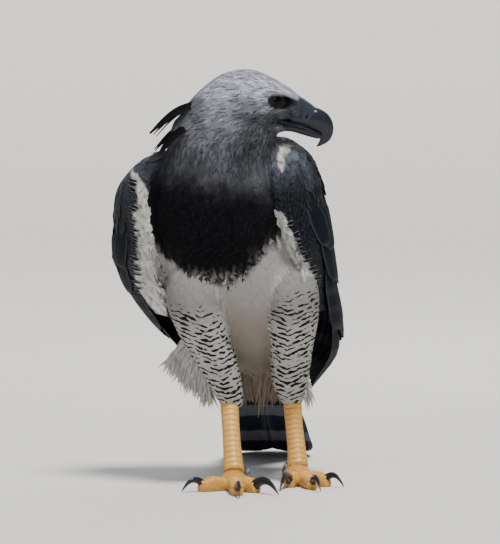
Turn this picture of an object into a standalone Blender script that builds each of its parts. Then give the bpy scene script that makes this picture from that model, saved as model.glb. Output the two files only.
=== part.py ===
"""Harpy eagle, an adult female at life size, standing still with its head turned to its left.

The bird faces -Y with its own left side at +X, and stands on Z = 0. Sizes in the tables are
millimetres; MM turns them into Blender's metres. The body, wings and tail are drawn straight, in a
frame of their own, and in_pose leans and turns them into the stance. Head, neck and legs are drawn
where they stand.
"""

import math

import bmesh
import bpy
from mathutils import Matrix, Vector

MM = 0.001
GAP = 0.3  # clearance between two pieces that touch

# Stance of the body: the shoulders lean to the bird's right, and the chest turns a little that way
TURN = math.radians(-5)
TURN_CENTRE_Y = 40
LEAN_LOW, LEAN_HIGH = 150, 400
LEAN_AT_VENT, LEAN_AT_SHOULDER = 10, -30
SHOULDER_TILT = 0.15  # how far the left shoulder rises, and the right one drops, for each unit out

# Where the feet, head and eyes are
HEAD_Y = -10
EYE_X, EYE_Z, EYE_OUT, EYE_RADIUS = 46.8, 507, 25, 11.5
LID_RADIUS, LID_THICK = 9.2, 1.7
SOLE_SINK = 1.3  # how far each toe pad is cut flat at the floor

# Feathers
VANE_THICK = 0.8
SHINGLE = 2.2  # height of one vane's edge over the next
STACK = 1.5  # step between vanes that lie flat on one another
WING_STEP = 0.08  # share of the wing's length between two lines of vane corners
PRIMARIES, SECONDARIES, COVERTS = 5, 7, 6
PRIMARY_WIDTH, SECONDARY_WIDTH, COVERT_WIDTH = 34, 40, 44
TAIL_FEATHERS, TAIL_LENGTH, TAIL_FEATHER_WIDTH = 12, 388, 54
TAIL_HALF_FAN = 36
CREST_FEATHERS = 8

FEATHER_ROUGH, SKIN_ROUGH, HORN_ROUGH = 0.85, 0.55, 0.25
COLOURS = {
    "head_feathers": ((0.36, 0.37, 0.40), FEATHER_ROUGH),
    "crest_feathers": ((0.035, 0.035, 0.045), FEATHER_ROUGH),
    "breast_feathers": ((0.03, 0.03, 0.035), FEATHER_ROUGH),
    "belly_feathers": ((0.75, 0.71, 0.65), FEATHER_ROUGH),
    "leg_feathers": ((0.70, 0.69, 0.67), FEATHER_ROUGH),
    "wing_feathers": ((0.035, 0.04, 0.055), FEATHER_ROUGH),
    "tail_feathers": ((0.05, 0.05, 0.055), FEATHER_ROUGH),
    "horn": ((0.015, 0.016, 0.02), HORN_ROUGH),
    "cere": ((0.10, 0.12, 0.15), SKIN_ROUGH),
    "foot_skin": ((0.80, 0.48, 0.11), SKIN_ROUGH),
    "eye": ((0.03, 0.02, 0.02), 0.05),
}

# The torso from the neck to the tail: y, z, half width, depth to the belly, depth to the back
TORSO = (
    (-2, 472, 46, 44, 42),
    (2, 450, 64, 56, 54),
    (8, 421, 79, 68, 63),
    (18, 385, 87, 78, 70),
    (32, 345, 91, 84, 74),
    (48, 305, 92, 84, 76),
    (66, 265, 89, 80, 76),
    (86, 228, 80, 70, 70),
    (108, 196, 66, 54, 56),
    (132, 172, 46, 36, 38),
    (152, 158, 24, 18, 18),
)
# The neck, standing: x, y, z, half width, half depth front and back
NECK = (
    (-26, 10, 392, 68, 62, 62),
    (-26, 5, 413, 71, 62, 62),
    (-26, 0, 432, 70, 57, 57),
    (-22, -4, 448, 69, 54, 54),
    (-17, -7, 465, 67, 51, 51),
    (-14, -9, 481, 60, 48, 48),
    (-10, -10, 497, 50, 44, 44),
    (-6, -10, 512, 36, 36, 36),
)
# The head, from nape to forehead: x, top z, bottom z, half width
HEAD = (
    (-68, 499, 470, 20),
    (-58, 512, 456, 33),
    (-42, 527, 444, 41),
    (-24, 539, 444, 45.5),
    (-5, 545, 446, 47),
    (13, 546, 452, 45.5),
    (31, 541, 460, 41),
    (47, 533, 480, 35.5),
    (62, 524, 481, 28.5),
    (75, 515, 476, 21),
    (84, 508, 474, 15),
)
CHIN = (
    (20, 500, 459, 34),
    (34, 488, 461, 27),
    (48, 480, 464, 19),
    (60, 477, 466.5, 12),
)
# The bare cere, then the hooked bill: top x, z, bottom x, z, half width
CERE = (
    (66, 516, 66, 478, 19),
    (78, 512, 76, 475, 16),
    (90, 504, 82, 473.5, 13.6),
    (98.5, 497, 86, 471.5, 12.4),
)
BILL_UPPER = (
    (93, 497, 82, 474, 10.5),
    (99.5, 497.5, 87, 471.2, 11.9),
    (108, 493.5, 94, 468.4, 11),
    (115.5, 487, 100, 465.5, 9.4),
    (120.5, 477, 104, 462.5, 7.4),
    (121, 466, 104.5, 458.5, 5.4),
    (117.5, 456.5, 103, 454.5, 3.6),
    (110.5, 450.4, 101.2, 450.8, 2.3),
    (101, 446.4, 98.8, 447.4, 0.9),
)
BILL_LOWER = (
    (40, 484, 40, 467, 12),
    (54, 480, 54, 467, 12),
    (68, 476, 69, 465.4, 11),
    (82, 471.4, 84, 461, 9.8),
    (94, 467.6, 96, 457.6, 8),
    (103, 464.2, 104, 456.6, 5.4),
    (108.5, 461, 109, 457.5, 2.6),
)
MOUTH_CORNER, MOUTH_FRONT = (40.5, 483.0), (96, 468.6)
MOUTH_OPENING = 0.9
BROW = ((24, 513), (36, 518.5), (52, 516.5), (70, 508.5))  # its line over the eye, x and z

# The outer surface of a folded wing, shoulder to tip: front edge, back edge, bulge between them
WING_FRONT = (
    (86, -4, 440),
    (96, -26, 402),
    (86, -24, 350),
    (98, -12, 300),
    (100, 22, 250),
    (99, 62, 205),
    (90, 118, 158),
    (72, 200, 108),
)
WING_BACK = (
    (62, 44, 452),
    (50, 88, 424),
    (34, 122, 372),
    (20, 145, 318),
    (12, 163, 264),
    (13, 181, 214),
    (24, 198, 164),
    (42, 216, 112),
)
LEFT_WING_LAP = (2, 13, 4, 0, 0, 0, 0, 0)  # how far the left wing's front edge laps the breast
WING_BULGE = {
    1: (22, 60, 78, 76, 75, 74, 66, 24),
    -1: (24, 57, 80, 94, 101, 84, 44, 18),
}
WING_INNER = (-22, -22, -18, -14, -12, -6, -2, 0)
BULGE_FORWARD = 0.25  # more than 0 sets the fullest part nearer the front edge

# Legs, standing: x, y, z, half width, depth to the front, depth to the back
THIGHS = {
    "right": (
        (-46, 12, 292, 30, 36, 36),
        (-58, 8, 258, 40, 48, 44),
        (-51, 14, 222, 37, 45, 44),
        (-39, 26, 186, 29, 37, 40),
        (-27, 38, 158, 25, 30, 33),
        (-18, 49, 133, 21, 25, 27),
        (-12, 55, 113, 17, 20, 21),
        (-11, 54, 101, 14, 15, 15),
    ),
    "left": (
        (50, 30, 292, 30, 36, 36),
        (64, 26, 258, 39, 48, 44),
        (68, 34, 222, 36, 45, 44),
        (67, 47, 186, 30, 37, 40),
        (66, 62, 158, 27, 30, 33),
        (65, 76, 135, 24, 26, 28),
        (67, 86, 116, 18.5, 20, 21),
        (68, 86, 103, 14, 15, 15),
    ),
}
TARSI = {
    "right": (
        (-17, 62, 128, 11, 11, 11),
        (-14, 50, 104, 12, 12, 12),
        (-12, 30, 76, 11.5, 11, 12),
        (-10, 10, 48, 12, 12, 12),
        (-8, -7, 22, 14, 13, 13),
    ),
    "left": (
        (68, 96, 130, 11, 11, 11),
        (69, 88, 106, 12, 12, 12),
        (71, 80, 76, 11.5, 11, 12),
        (74, 71, 48, 12, 12, 12),
        (76, 61, 22, 14, 13, 13),
    ),
}
# Toes: number, heading in degrees from straight ahead, length, claw length, claw half height
FEET = {
    "right": (
        (-8, -14),
        (("hind", 166, 46, 58, 7.5), ("inner", 38, 50, 50, 7.2), ("middle", 4, 76, 40, 6), ("outer", -60, 52, 32, 5)),
    ),
    "left": (
        (76, 56),
        (("hind", -168, 46, 58, 7.5), ("inner", -15, 50, 50, 7.2), ("middle", 15, 76, 40, 6), ("outer", 48, 54, 32, 5)),
    ),
}
TOE_SCUTES = {"hind": 5, "inner": 5, "middle": 9, "outer": 6}
SCUTE_RAISE = 0.9


def spline(keys, t):
    """Catmull-Rom value at t from 0 to 1 through evenly spaced keys, numbers or tuples."""
    if not isinstance(keys[0], tuple):
        return spline([(k,) for k in keys], t)[0]
    place = min(max(t, 0.0), 1.0) * (len(keys) - 1)
    i = min(int(place), len(keys) - 2)
    u = place - i
    a, b, c, d = (keys[min(max(j, 0), len(keys) - 1)] for j in (i - 1, i, i + 1, i + 2))
    return tuple(
        0.5 * (2 * q + (r - p) * u + (2 * p - 5 * q + 4 * r - s) * u * u + (3 * q - p - 3 * r + s) * u**3)
        for p, q, r, s in zip(a, b, c, d)
    )


def steps(count):
    """Evenly spaced numbers from 0 to 1."""
    return [i / (count - 1) for i in range(count)]


def smooth_step(low, high, value):
    u = min(max((value - low) / (high - low), 0.0), 1.0)
    return u * u * (3 - 2 * u)


def in_pose(point):
    """From the straight body's frame to the stance, in millimetres."""
    turned = Matrix.Rotation(TURN, 3, "Z") @ Vector((point[0], point[1] - TURN_CENTRE_Y, point[2]))
    share = smooth_step(LEAN_LOW, LEAN_HIGH, point[2])
    lean = LEAN_AT_VENT + (LEAN_AT_SHOULDER - LEAN_AT_VENT) * share
    return turned + Vector((lean, TURN_CENTRE_Y, point[0] * SHOULDER_TILT * share))


def collection(name):
    made = bpy.data.collections.new(name)
    bpy.context.scene.collection.children.link(made)
    return made


def material(name):
    found = bpy.data.materials.get(name)
    if found:
        return found
    colour, rough = COLOURS[name]
    made = bpy.data.materials.new(name)
    made.use_nodes = True
    shader = made.node_tree.nodes["Principled BSDF"]
    shader.inputs["Base Color"].default_value = (*colour, 1)
    shader.inputs["Roughness"].default_value = rough
    shader.inputs["Metallic"].default_value = 0
    return made


def add_object(name, bm, finish):
    """A bmesh in millimetres becomes an object in metres, facing out, all in triangles."""
    bmesh.ops.triangulate(bm, faces=bm.faces)
    bmesh.ops.recalc_face_normals(bm, faces=bm.faces)
    bmesh.ops.scale(bm, vec=(MM, MM, MM), verts=bm.verts)
    mesh = bpy.data.meshes.new(name)
    bm.to_mesh(mesh)
    bm.free()
    made = bpy.data.objects.new(name, mesh)
    made.data.materials.append(material(finish))
    PARTS.objects.link(made)
    return made


def ring(centre, across, up, half, top, bottom, sides, power=2.0):
    """Points of a rounded section: half across, top and bottom are its reaches from the centre."""
    points = []
    for k in range(sides):
        angle = math.tau * k / sides
        c, s = math.cos(angle), math.sin(angle)
        out = math.copysign(abs(c) ** (2 / power), c) * half
        rise = math.copysign(abs(s) ** (2 / power), s) * (top if s > 0 else bottom)
        points.append(centre + across * out + up * rise)
    return points


def loft(name, rings, finish):
    """A closed skin over rings of equal count, with a domed point at each end."""
    bm = bmesh.new()
    rows = [[bm.verts.new(p) for p in points] for points in rings]
    count = len(rows[0])
    for a, b in zip(rows, rows[1:]):
        for k in range(count):
            bm.faces.new((a[k], a[(k + 1) % count], b[(k + 1) % count], b[k]))
    for row in (rows[0], rows[-1]):
        middle = bm.verts.new(sum((v.co for v in row), Vector()) / count)
        for k in range(count):
            bm.faces.new((row[k], row[(k + 1) % count], middle))
    return add_object(name, bm, finish)


def limb(name, keys, finish, count, sides, power=2.0, pose=None, raised=None):
    """A loft along a path. A key is x, y, z, half width, depth to the front, depth to the back."""
    rings = []
    for t in steps(count):
        x, y, z, half, front, back = spline(keys, t)
        ahead = Vector(spline(keys, t + 0.02)[:3]) - Vector(spline(keys, t - 0.02)[:3])
        across = Vector((1, 0, 0))
        across = (across - ahead * across.dot(ahead) / ahead.length_squared).normalized()
        forward = across.cross(ahead).normalized()
        if forward.y > 0:
            forward = -forward
        lift = raised(t) if raised else 0
        rings.append(ring(Vector((x, y, z)), across, forward, half, front + lift, back, sides, power))
    if pose:
        rings = [[pose(p) for p in points] for points in rings]
    return loft(name, rings, finish)


def apply_modifiers(obj):
    """Makes an object's modifiers part of its mesh."""
    graph = bpy.context.evaluated_depsgraph_get()
    mesh = bpy.data.meshes.new_from_object(obj.evaluated_get(graph))
    obj.modifiers.clear()
    old = obj.data
    obj.data = mesh
    bpy.data.meshes.remove(old)


def keep_largest(obj):
    """Drops loose scraps and sealed hollows, and keeps the largest closed surface."""
    bm = bmesh.new()
    bm.from_mesh(obj.data)
    left, islands = set(bm.verts), []
    while left:
        island, edge = set(), [left.pop()]
        while edge:
            vert = edge.pop()
            island.add(vert)
            for link in vert.link_edges:
                other = link.other_vert(vert)
                if other in left:
                    left.discard(other)
                    edge.append(other)
        islands.append(island)
    islands.sort(key=len)
    for island in islands[:-1]:
        bmesh.ops.delete(bm, geom=list(island), context="VERTS")
    bm.to_mesh(obj.data)
    bm.free()


def boolean(obj, operation, cutter=None, group=None, solver="MANIFOLD"):
    cut = obj.modifiers.new(operation.lower(), "BOOLEAN")
    cut.operation = operation
    cut.solver = solver
    if group:
        cut.operand_type = "COLLECTION"
        cut.collection = group
    else:
        cut.object = cutter
    apply_modifiers(obj)


def remove(obj):
    mesh = obj.data
    bpy.data.objects.remove(obj)
    bpy.data.meshes.remove(mesh)


def fuse(core, pieces):
    """Joins pieces to the core as one closed body."""
    group = collection("to_fuse")
    for piece in pieces:
        PARTS.objects.unlink(piece)
        group.objects.link(piece)
    boolean(core, "UNION", group=group)
    for piece in pieces:
        remove(piece)
    bpy.data.collections.remove(group)
    keep_largest(core)
    return core


def grown(obj, gap=GAP):
    """A copy of the object, larger all round by the gap."""
    cutter = bpy.data.objects.new(obj.name + "_cutter", obj.data.copy())
    CUTTERS.objects.link(cutter)
    bm = bmesh.new()
    bm.from_mesh(cutter.data)
    bm.normal_update()
    moves = [(v, v.co + v.normal * gap * MM) for v in bm.verts]
    for vert, place in moves:
        vert.co = place
    bm.to_mesh(cutter.data)
    bm.free()
    return cutter


def meet(piece, *hosts):
    """Cuts the piece back so that it meets its hosts face to face with the gap.

    A host is a piece, or the grown copy of one that was taken before the piece was cut itself."""
    for host in hosts:
        ready = host.name in CUTTERS.objects
        cutter = host if ready else grown(host)
        boolean(piece, "DIFFERENCE", cutter=cutter)
        if not ready:
            remove(cutter)
    keep_largest(piece)
    return piece


def cut_flat(obj, point, normal, name=None, finish=None):
    """Keeps what lies behind a plane and closes the cut. With a name, the rest becomes that object."""
    other = None
    if name:
        other = bpy.data.objects.new(name, obj.data.copy())
        PARTS.objects.link(other)
        other.data.materials.clear()
        other.data.materials.append(material(finish))
    normal = Vector(normal).normalized()
    for part, way in ((obj, 1), (other, -1)):
        if part is None:
            continue
        side = normal * way
        place = (Vector(point) - side * (GAP / 2 if name else 0)) * MM
        bm = bmesh.new()
        bm.from_mesh(part.data)
        geometry = bm.verts[:] + bm.edges[:] + bm.faces[:]
        bmesh.ops.bisect_plane(bm, geom=geometry, plane_co=place, plane_no=side, clear_outer=True)
        rim = [e for e in bm.edges if e.is_boundary]
        bmesh.ops.holes_fill(bm, edges=rim, sides=0)
        bmesh.ops.recalc_face_normals(bm, faces=bm.faces)
        bm.to_mesh(part.data)
        bm.free()
        keep_largest(part)
    return other


def vane(name, stations, finish):
    """A feather: a closed blade three points wide, its two faces split into triangles alike.

    A station is the three points of the upper face and the three below them."""
    bm = bmesh.new()
    tops = [[bm.verts.new(p) for p in upper] for upper, under in stations]
    unders = [[bm.verts.new(p) for p in under] for upper, under in stations]
    for rows in (tops, unders):
        for a, b in zip(rows, rows[1:]):
            for k in range(2):
                bm.faces.new((a[k], a[k + 1], b[k + 1]))
                bm.faces.new((a[k], b[k + 1], b[k]))
    for k in (0, 2):
        for i in range(len(tops) - 1):
            bm.faces.new((tops[i][k], tops[i + 1][k], unders[i + 1][k], unders[i][k]))
    for i in (0, -1):
        for k in range(2):
            bm.faces.new((tops[i][k], tops[i][k + 1], unders[i][k + 1], unders[i][k]))
    return add_object(name, bm, finish)


def blade(shaft, edge, normal, thick, camber=0.0):
    """One station of a vane: its half width either side of the shaft, which stands out by the camber."""
    upper = (shaft - edge, shaft + normal * camber, shaft + edge)
    return upper, tuple(p - normal * thick for p in upper)


def feather_width(t, blunt=0.3):
    """Share of the full width at t along a flight feather, root to tip."""
    return spline((0.35, 0.62, 0.85, 1.0, 1.0, 0.93, blunt), t)


def build_eyes(head):
    eyes = []
    for side, name in ((-1, "eye_right"), (1, "eye_left")):
        bm = bmesh.new()
        bmesh.ops.create_uvsphere(bm, u_segments=14, v_segments=8, radius=EYE_RADIUS)
        bmesh.ops.rotate(bm, verts=bm.verts, matrix=Matrix.Rotation(math.radians(90), 3, "X"))
        bmesh.ops.translate(bm, verts=bm.verts, vec=(EYE_X, HEAD_Y + side * EYE_OUT, EYE_Z))
        eyes.append(add_object(name, bm, "eye"))
    for eye in eyes:
        socket = grown(eye)
        boolean(head, "DIFFERENCE", cutter=socket)
        remove(socket)
    return eyes


def lid(side):
    """The rim of skin round one eye."""
    major, minor = 18, 6
    bm = bmesh.new()
    out = EYE_OUT + math.sqrt(EYE_RADIUS**2 - LID_RADIUS**2)
    rows = []
    for i in range(major):
        a = math.tau * i / major
        spoke = Vector((math.cos(a), 0, math.sin(a)))
        middle = Vector((EYE_X, HEAD_Y + side * out, EYE_Z)) + spoke * LID_RADIUS
        inward = Vector((0, side, 0))
        rows.append([bm.verts.new(p) for p in ring(middle, spoke, inward, LID_THICK, 1.2, 4.5, minor)])
    for i in range(major):
        a, b = rows[i], rows[(i + 1) % major]
        for k in range(minor):
            bm.faces.new((a[k], a[(k + 1) % minor], b[(k + 1) % minor], b[k]))
    return add_object("lid", bm, "head_feathers")


def brow(side):
    """The bony shelf over one eye."""
    rings = []
    for t in steps(8):
        x, z = spline(BROW, t)
        swell = math.sin(math.pi * (0.12 + 0.76 * t))
        half = spline((36, 36.5, 32.5, 24), t)
        centre = Vector((x, HEAD_Y + side * (half - 3.2), z))
        rings.append(ring(centre, Vector((0, side, 0)), Vector((0, 0, 1)), 6 * swell, 4.2 * swell, 3.2 * swell, 8))
    return loft("brow", rings, "head_feathers")


def upright_loft(name, keys, finish, count, sides, power):
    """A loft along X from keys of x, top z, bottom z and half width."""
    rings = []
    for t in steps(count):
        x, top, bottom, half = spline(keys, t)
        centre = Vector((x, HEAD_Y, bottom + (top - bottom) * 0.5))
        reach = (top - bottom) / 2
        rings.append(ring(centre, Vector((0, 1, 0)), Vector((0, 0, 1)), half, reach, reach, sides, power))
    return loft(name, rings, finish)


def bill_loft(name, keys, finish, count, sides, power):
    """A loft along the bill from keys of top x and z, bottom x and z, and half width."""
    rings = []
    for t in steps(count):
        top_x, top_z, low_x, low_z, half = spline(keys, t)
        top, low = Vector((top_x, HEAD_Y, top_z)), Vector((low_x, HEAD_Y, low_z))
        up = (top - low).normalized()
        reach = (top - low).length
        rings.append(ring(low + up * reach * 0.4, Vector((0, 1, 0)), up, half, reach * 0.6, reach * 0.4, sides, power))
    return loft(name, rings, finish)


def mouth_slit():
    """A thin wedge along the line of the mouth."""
    (x0, z0), (x1, z1) = MOUTH_CORNER, MOUTH_FRONT
    run = Vector((x1 - x0, 0, z1 - z0))
    bm = bmesh.new()
    bmesh.ops.create_cube(bm, size=1)
    bmesh.ops.scale(bm, vec=(run.length, 110, MOUTH_OPENING), verts=bm.verts)
    turn = Matrix.Rotation(-math.atan2(run.z, run.x), 3, "Y")
    bmesh.ops.rotate(bm, verts=bm.verts, matrix=turn)
    middle = Vector(((x0 + x1) / 2, HEAD_Y, (z0 + z1) / 2))
    bmesh.ops.translate(bm, verts=bm.verts, vec=middle)
    return add_object("mouth_slit", bm, "head_feathers")


def nostril(side):
    bm = bmesh.new()
    bmesh.ops.create_uvsphere(bm, u_segments=8, v_segments=6, radius=1)
    bmesh.ops.scale(bm, vec=(1.3, 4.5, 3.6), verts=bm.verts)
    bmesh.ops.rotate(bm, verts=bm.verts, matrix=Matrix.Rotation(math.radians(28), 3, "Y"))
    bmesh.ops.translate(bm, verts=bm.verts, vec=(85.5, HEAD_Y + side * 14.5, 485.5))
    return add_object("nostril", bm, "cere")


def crest_feathers():
    """The double crest, laid back over the nape: an upper row and a lower row."""
    made = []
    for k in range(CREST_FEATHERS):
        upper = k % 2 == 0
        spread = (k // 2) / (CREST_FEATHERS // 2 - 1) * 2 - 1
        side = spread * (22 if upper else 28)
        root = Vector((-50 if upper else -58, HEAD_Y + side * 0.8, 503 if upper else 478))
        tip = Vector((-117 + abs(spread) * 5 + 3 * spread, HEAD_Y + side * 1.5, 463 - 4 * spread))
        if not upper:
            tip = Vector((-111 + abs(spread) * 4 - 3 * spread, HEAD_Y + side * 1.5, 441 + 5 * spread))
        sag = Vector((-3, 0, 7))
        stations = []
        for t in steps(5):
            place = root.lerp(tip, t) + sag * math.sin(math.pi * t)
            half = 7.5 * spline((0.6, 1.0, 0.95, 0.6, 0.12), t)
            outward = Vector((-0.5, 0.25 * spread, 0.83)).normalized()
            across = outward.cross(tip - root).normalized()
            stations.append(blade(place, across * half, outward, 0.9, camber=0.6))
        made.append(vane("crest_feather", stations, "crest_feathers"))
    return made


def build_head():
    """Head, crest, neck, eyes, cere and bill."""
    head = upright_loft("head", HEAD, "head_feathers", 17, 22, 2.15)
    neck = limb("neck_core", NECK, "head_feathers", 9, 22, 2.1)
    chin = upright_loft("chin", CHIN, "head_feathers", 7, 14, 2.0)
    whole = [grown(head), grown(neck)]
    fuse(head, [neck, chin, brow(-1), brow(1), lid(-1), lid(1)])
    cere = bill_loft("cere", CERE, "cere", 5, 14, 2.3)
    upper = bill_loft("bill_upper", BILL_UPPER, "horn", 14, 12, 2.2)
    lower = bill_loft("bill_lower", BILL_LOWER, "horn", 8, 10, 2.2)
    slit = mouth_slit()
    for piece in (head, cere):
        boolean(piece, "DIFFERENCE", cutter=slit)
    remove(slit)
    for side in (-1, 1):
        hole = nostril(side)
        boolean(cere, "DIFFERENCE", cutter=hole)
        remove(hole)
    eyes = build_eyes(head)
    keep_largest(head)
    keep_largest(cere)
    meet(cere, head)
    meet(upper, cere)
    meet(lower, head, cere, upper)
    return head, whole


def build_torso():
    keys = tuple((0, y, z, half, belly, back) for y, z, half, belly, back in TORSO)
    return limb("belly", keys, "belly_feathers", 16, 22, 2.15, pose=in_pose)


def wing_edges(side, t):
    """The front and back edge of a folded wing at t down it, as on the bird's left side."""
    front, back = Vector(spline(WING_FRONT, t)), Vector(spline(WING_BACK, t))
    if side > 0:
        front += Vector((-1, -0.8, 0)) * spline(LEFT_WING_LAP, t)
    return front, back


def wing_point(side, t, c, lift):
    """A point over a folded wing: t down it, c from its front edge to its back edge."""
    front, back = wing_edges(side, t)
    out = Vector((back.y - front.y, front.x - back.x, 0)).normalized()
    forward = c * (1 + BULGE_FORWARD * (1 - c))
    bulge = spline(WING_BULGE[side], t) * math.sin(math.pi * forward)
    place = front.lerp(back, c) + out * (bulge + lift)
    place.x *= side
    return in_pose(place)


def wing_vane(side, root, tip, lifts, width, tilt, finish, blunt=0.3):
    """One feather on the wing's surface, from root to tip in its t and c.

    Its stations share their lines down the wing with every other feather, so layers stay apart."""
    knots = [k * WING_STEP for k in range(1, 20) if root[0] + 0.03 < k * WING_STEP < tip[0] - 0.03]
    stations = []
    for at_t in (root[0], *knots, tip[0]):
        t = (at_t - root[0]) / (tip[0] - root[0])
        at_c = root[1] + (tip[1] - root[1]) * t
        front, back = wing_edges(side, at_t)
        stretch = (wing_point(side, at_t, at_c + 0.01, 0) - wing_point(side, at_t, at_c - 0.01, 0)).length / 0.02
        reach = width * feather_width(t, blunt) / 2 / max(stretch, 60)
        lift = lifts[0] + (lifts[1] - lifts[0]) * smooth_step(0, 0.35, t)
        slope = tilt * feather_width(t, blunt)
        thick = VANE_THICK * min(stretch / (back - front).length, 2)
        upper, under = [], []
        for k in (-1, 0, 1):
            c = min(max(at_c + k * reach, 0.04 + 0.02 * k), 0.96 + 0.02 * k)
            upper.append(wing_point(side, at_t, c, lift + k * slope))
            under.append(wing_point(side, at_t, c, lift + k * slope - thick))
        stations.append((upper, under))
    return vane("wing_vane", stations, finish)


def wing_feathers(side):
    """Primaries lowest, then secondaries, then the greater coverts that cover their roots."""
    made = []
    finish = "wing_feathers"
    for k in range(PRIMARIES):
        share = k / (PRIMARIES - 1)
        root = (0.46 + 0.05 * share, 0.2 + 0.2 * share)
        tip = (1.0 - 0.1 * share, 0.25 + 0.5 * share)
        under = k * STACK * 1.3
        made.append(wing_vane(side, root, tip, (-15 - under, -11.5 - under), PRIMARY_WIDTH, 0.3, finish))
    for k in range(SECONDARIES):
        share = k / (SECONDARIES - 1)
        root = (0.44, 0.2 + 0.66 * share)
        tip = (0.76 + 0.14 * share, 0.18 + 0.68 * share)
        made.append(wing_vane(side, root, tip, (-10, -5), SECONDARY_WIDTH, SHINGLE, finish, 0.45))
    for k in range(COVERTS):
        share = k / (COVERTS - 1)
        root = (0.3, 0.19 + 0.65 * share)
        tip = (0.58 + 0.05 * share, 0.19 + 0.65 * share)
        made.append(wing_vane(side, root, tip, (-5, 1.5), COVERT_WIDTH, SHINGLE, finish, 0.5))
    return made


def build_wing(side, name):
    rings = []
    outer, inner = 9, 6
    for t in steps(12):
        at = 0.64 * t
        sink = 13 * smooth_step(0.34, 0.64, at)
        row = [wing_point(side, at, c, -sink) for c in steps(outer)]
        for c in steps(inner + 2)[-2:0:-1]:
            forward = c * (1 + BULGE_FORWARD * (1 - c))
            drop = (spline(WING_INNER, at) - spline(WING_BULGE[side], at)) * math.sin(math.pi * forward)
            row.append(wing_point(side, at, c, min(drop, -sink - 5)))
        rings.append(row)
    core = loft(name, rings, "wing_feathers")
    return fuse(core, wing_feathers(side))


TAIL_ROOT_Y, TAIL_ROOT_Z = 140, 180
TAIL_FLAT = 60  # how much of the tail's end lies level on the floor


def tail_line(distance, lift):
    """The tail's middle line: straight down and back, then level at the floor. y and z."""
    slope_run = TAIL_LENGTH - TAIL_FLAT
    drop = (TAIL_ROOT_Z - 1.0) / slope_run
    level = slope_run * 1.0
    bend = 50
    back = math.sqrt(1 - drop * drop)
    if distance < level - bend:
        y, z = TAIL_ROOT_Y + distance * back, TAIL_ROOT_Z - distance * drop
    else:
        u = min((distance - level + bend) / (2 * bend), 1.0)
        start_y = TAIL_ROOT_Y + (level - bend) * back
        start_z = TAIL_ROOT_Z - (level - bend) * drop
        y = start_y + (distance - level + bend) * (back + (1 - back) * u * 0.5)
        z = start_z - 2 * bend * drop * (u - u * u / 2)
    return Vector((0, y + lift * drop * 0.5, z + lift))


def tail_feather(k):
    """One tail feather. The middle pair lies on top, the outer ones lowest."""
    half_count = TAIL_FEATHERS // 2
    side = -1 if k < half_count else 1
    rank = half_count - 1 - k if side < 0 else k - half_count
    share = (rank + 0.5) / half_count
    length = TAIL_LENGTH - 26 * share**2
    top = STACK * (half_count - 1 - rank) + (STACK if rank == 0 and side > 0 else 0)
    stations = []
    for t in steps(7):
        along = 26 + (length - 26) * t
        middle = side * share * (17 + (TAIL_HALF_FAN - 17) * smooth_step(0, 1, t))
        half = TAIL_FEATHER_WIDTH / 2 * spline((0.42, 0.62, 0.76, 0.88, 1.0, 1.0, 0.94, 0.4), t)
        spread = smooth_step(0, 0.16, t)
        lift = 1.0 + top * (0.35 + 0.65 * spread)
        inner = half if rank == 0 else min(half, abs(middle) - GAP)
        upper = []
        for x in (middle - side * inner, middle, middle + side * half):
            droop = 0.0012 * x * x * (1 - smooth_step(0.6, 0.85, t))
            place = tail_line(along, lift - droop)
            place.x = x
            upper.append(in_pose(place))
        stations.append((upper, [p - Vector((0, 0, VANE_THICK)) for p in upper]))
    return vane("tail_feather", stations, "tail_feathers")


def build_tail():
    """The tail's fleshy root with its coverts, and the fan of twelve feathers."""
    rings = []
    for t in steps(8):
        centre = tail_line(-14 + 100 * t, 4)
        half = spline((24, 34, 36, 31), t)
        high = spline((18, 20, 15, 7), t)
        rings.append([in_pose(p) for p in ring(centre, Vector((1, 0, 0)), Vector((0, 0.3, 0.95)), half, high, high * 0.8, 14, 2.3)])
    core = loft("tail", rings, "tail_feathers")
    pieces = [tail_feather(k) for k in range(TAIL_FEATHERS)]
    return fuse(core, pieces)


VENT_LOCKS = 8


def vent_lock(share, row):
    """One soft plume of the vent, hanging behind the legs."""
    side = share * 2 - 1
    root = Vector((side * (60 - 10 * row) - 8, 104 + 22 * row - 26 * side * side, 170 + 6 * row))
    tip = Vector((side * (108 - 18 * row) - 12, 116 + 34 * row - 22 * side * side, 108 + 9 * row + 16 * abs(side)))
    stations = []
    for t in steps(4):
        place = root.lerp(tip, t) + Vector((side * 8, -6, 0)) * math.sin(math.pi * t)
        half = 14 * spline((0.8, 1.0, 0.8, 0.15), t)
        outward = Vector((side * 0.8, -0.75 + 0.2 * abs(side), -0.2)).normalized()
        across = outward.cross(tip - root).normalized()
        upper, under = blade(place, across * half + outward * 1.3, outward, 1.6, camber=1.2)
        stations.append(([in_pose(p) for p in upper], [in_pose(p) for p in under]))
    return vane("vent_lock", stations, "belly_feathers")


def build_vent():
    """The white plumes under the tail, on a soft core that hangs from the belly."""
    keys = (
        (-6, 96, 196, 66, 24, 20),
        (-7, 104, 178, 74, 24, 22),
        (-8, 112, 160, 74, 20, 20),
        (-9, 120, 144, 64, 13, 15),
        (-10, 126, 132, 46, 6, 7),
    )
    core = limb("vent", keys, "belly_feathers", 8, 20, 2.3, pose=in_pose)
    locks = [vent_lock(k / (VENT_LOCKS - 1), 0) for k in range(VENT_LOCKS)]
    locks += [vent_lock((k + 0.5) / (VENT_LOCKS - 1), 1) for k in range(VENT_LOCKS - 1)]
    return fuse(core, locks)


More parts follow.
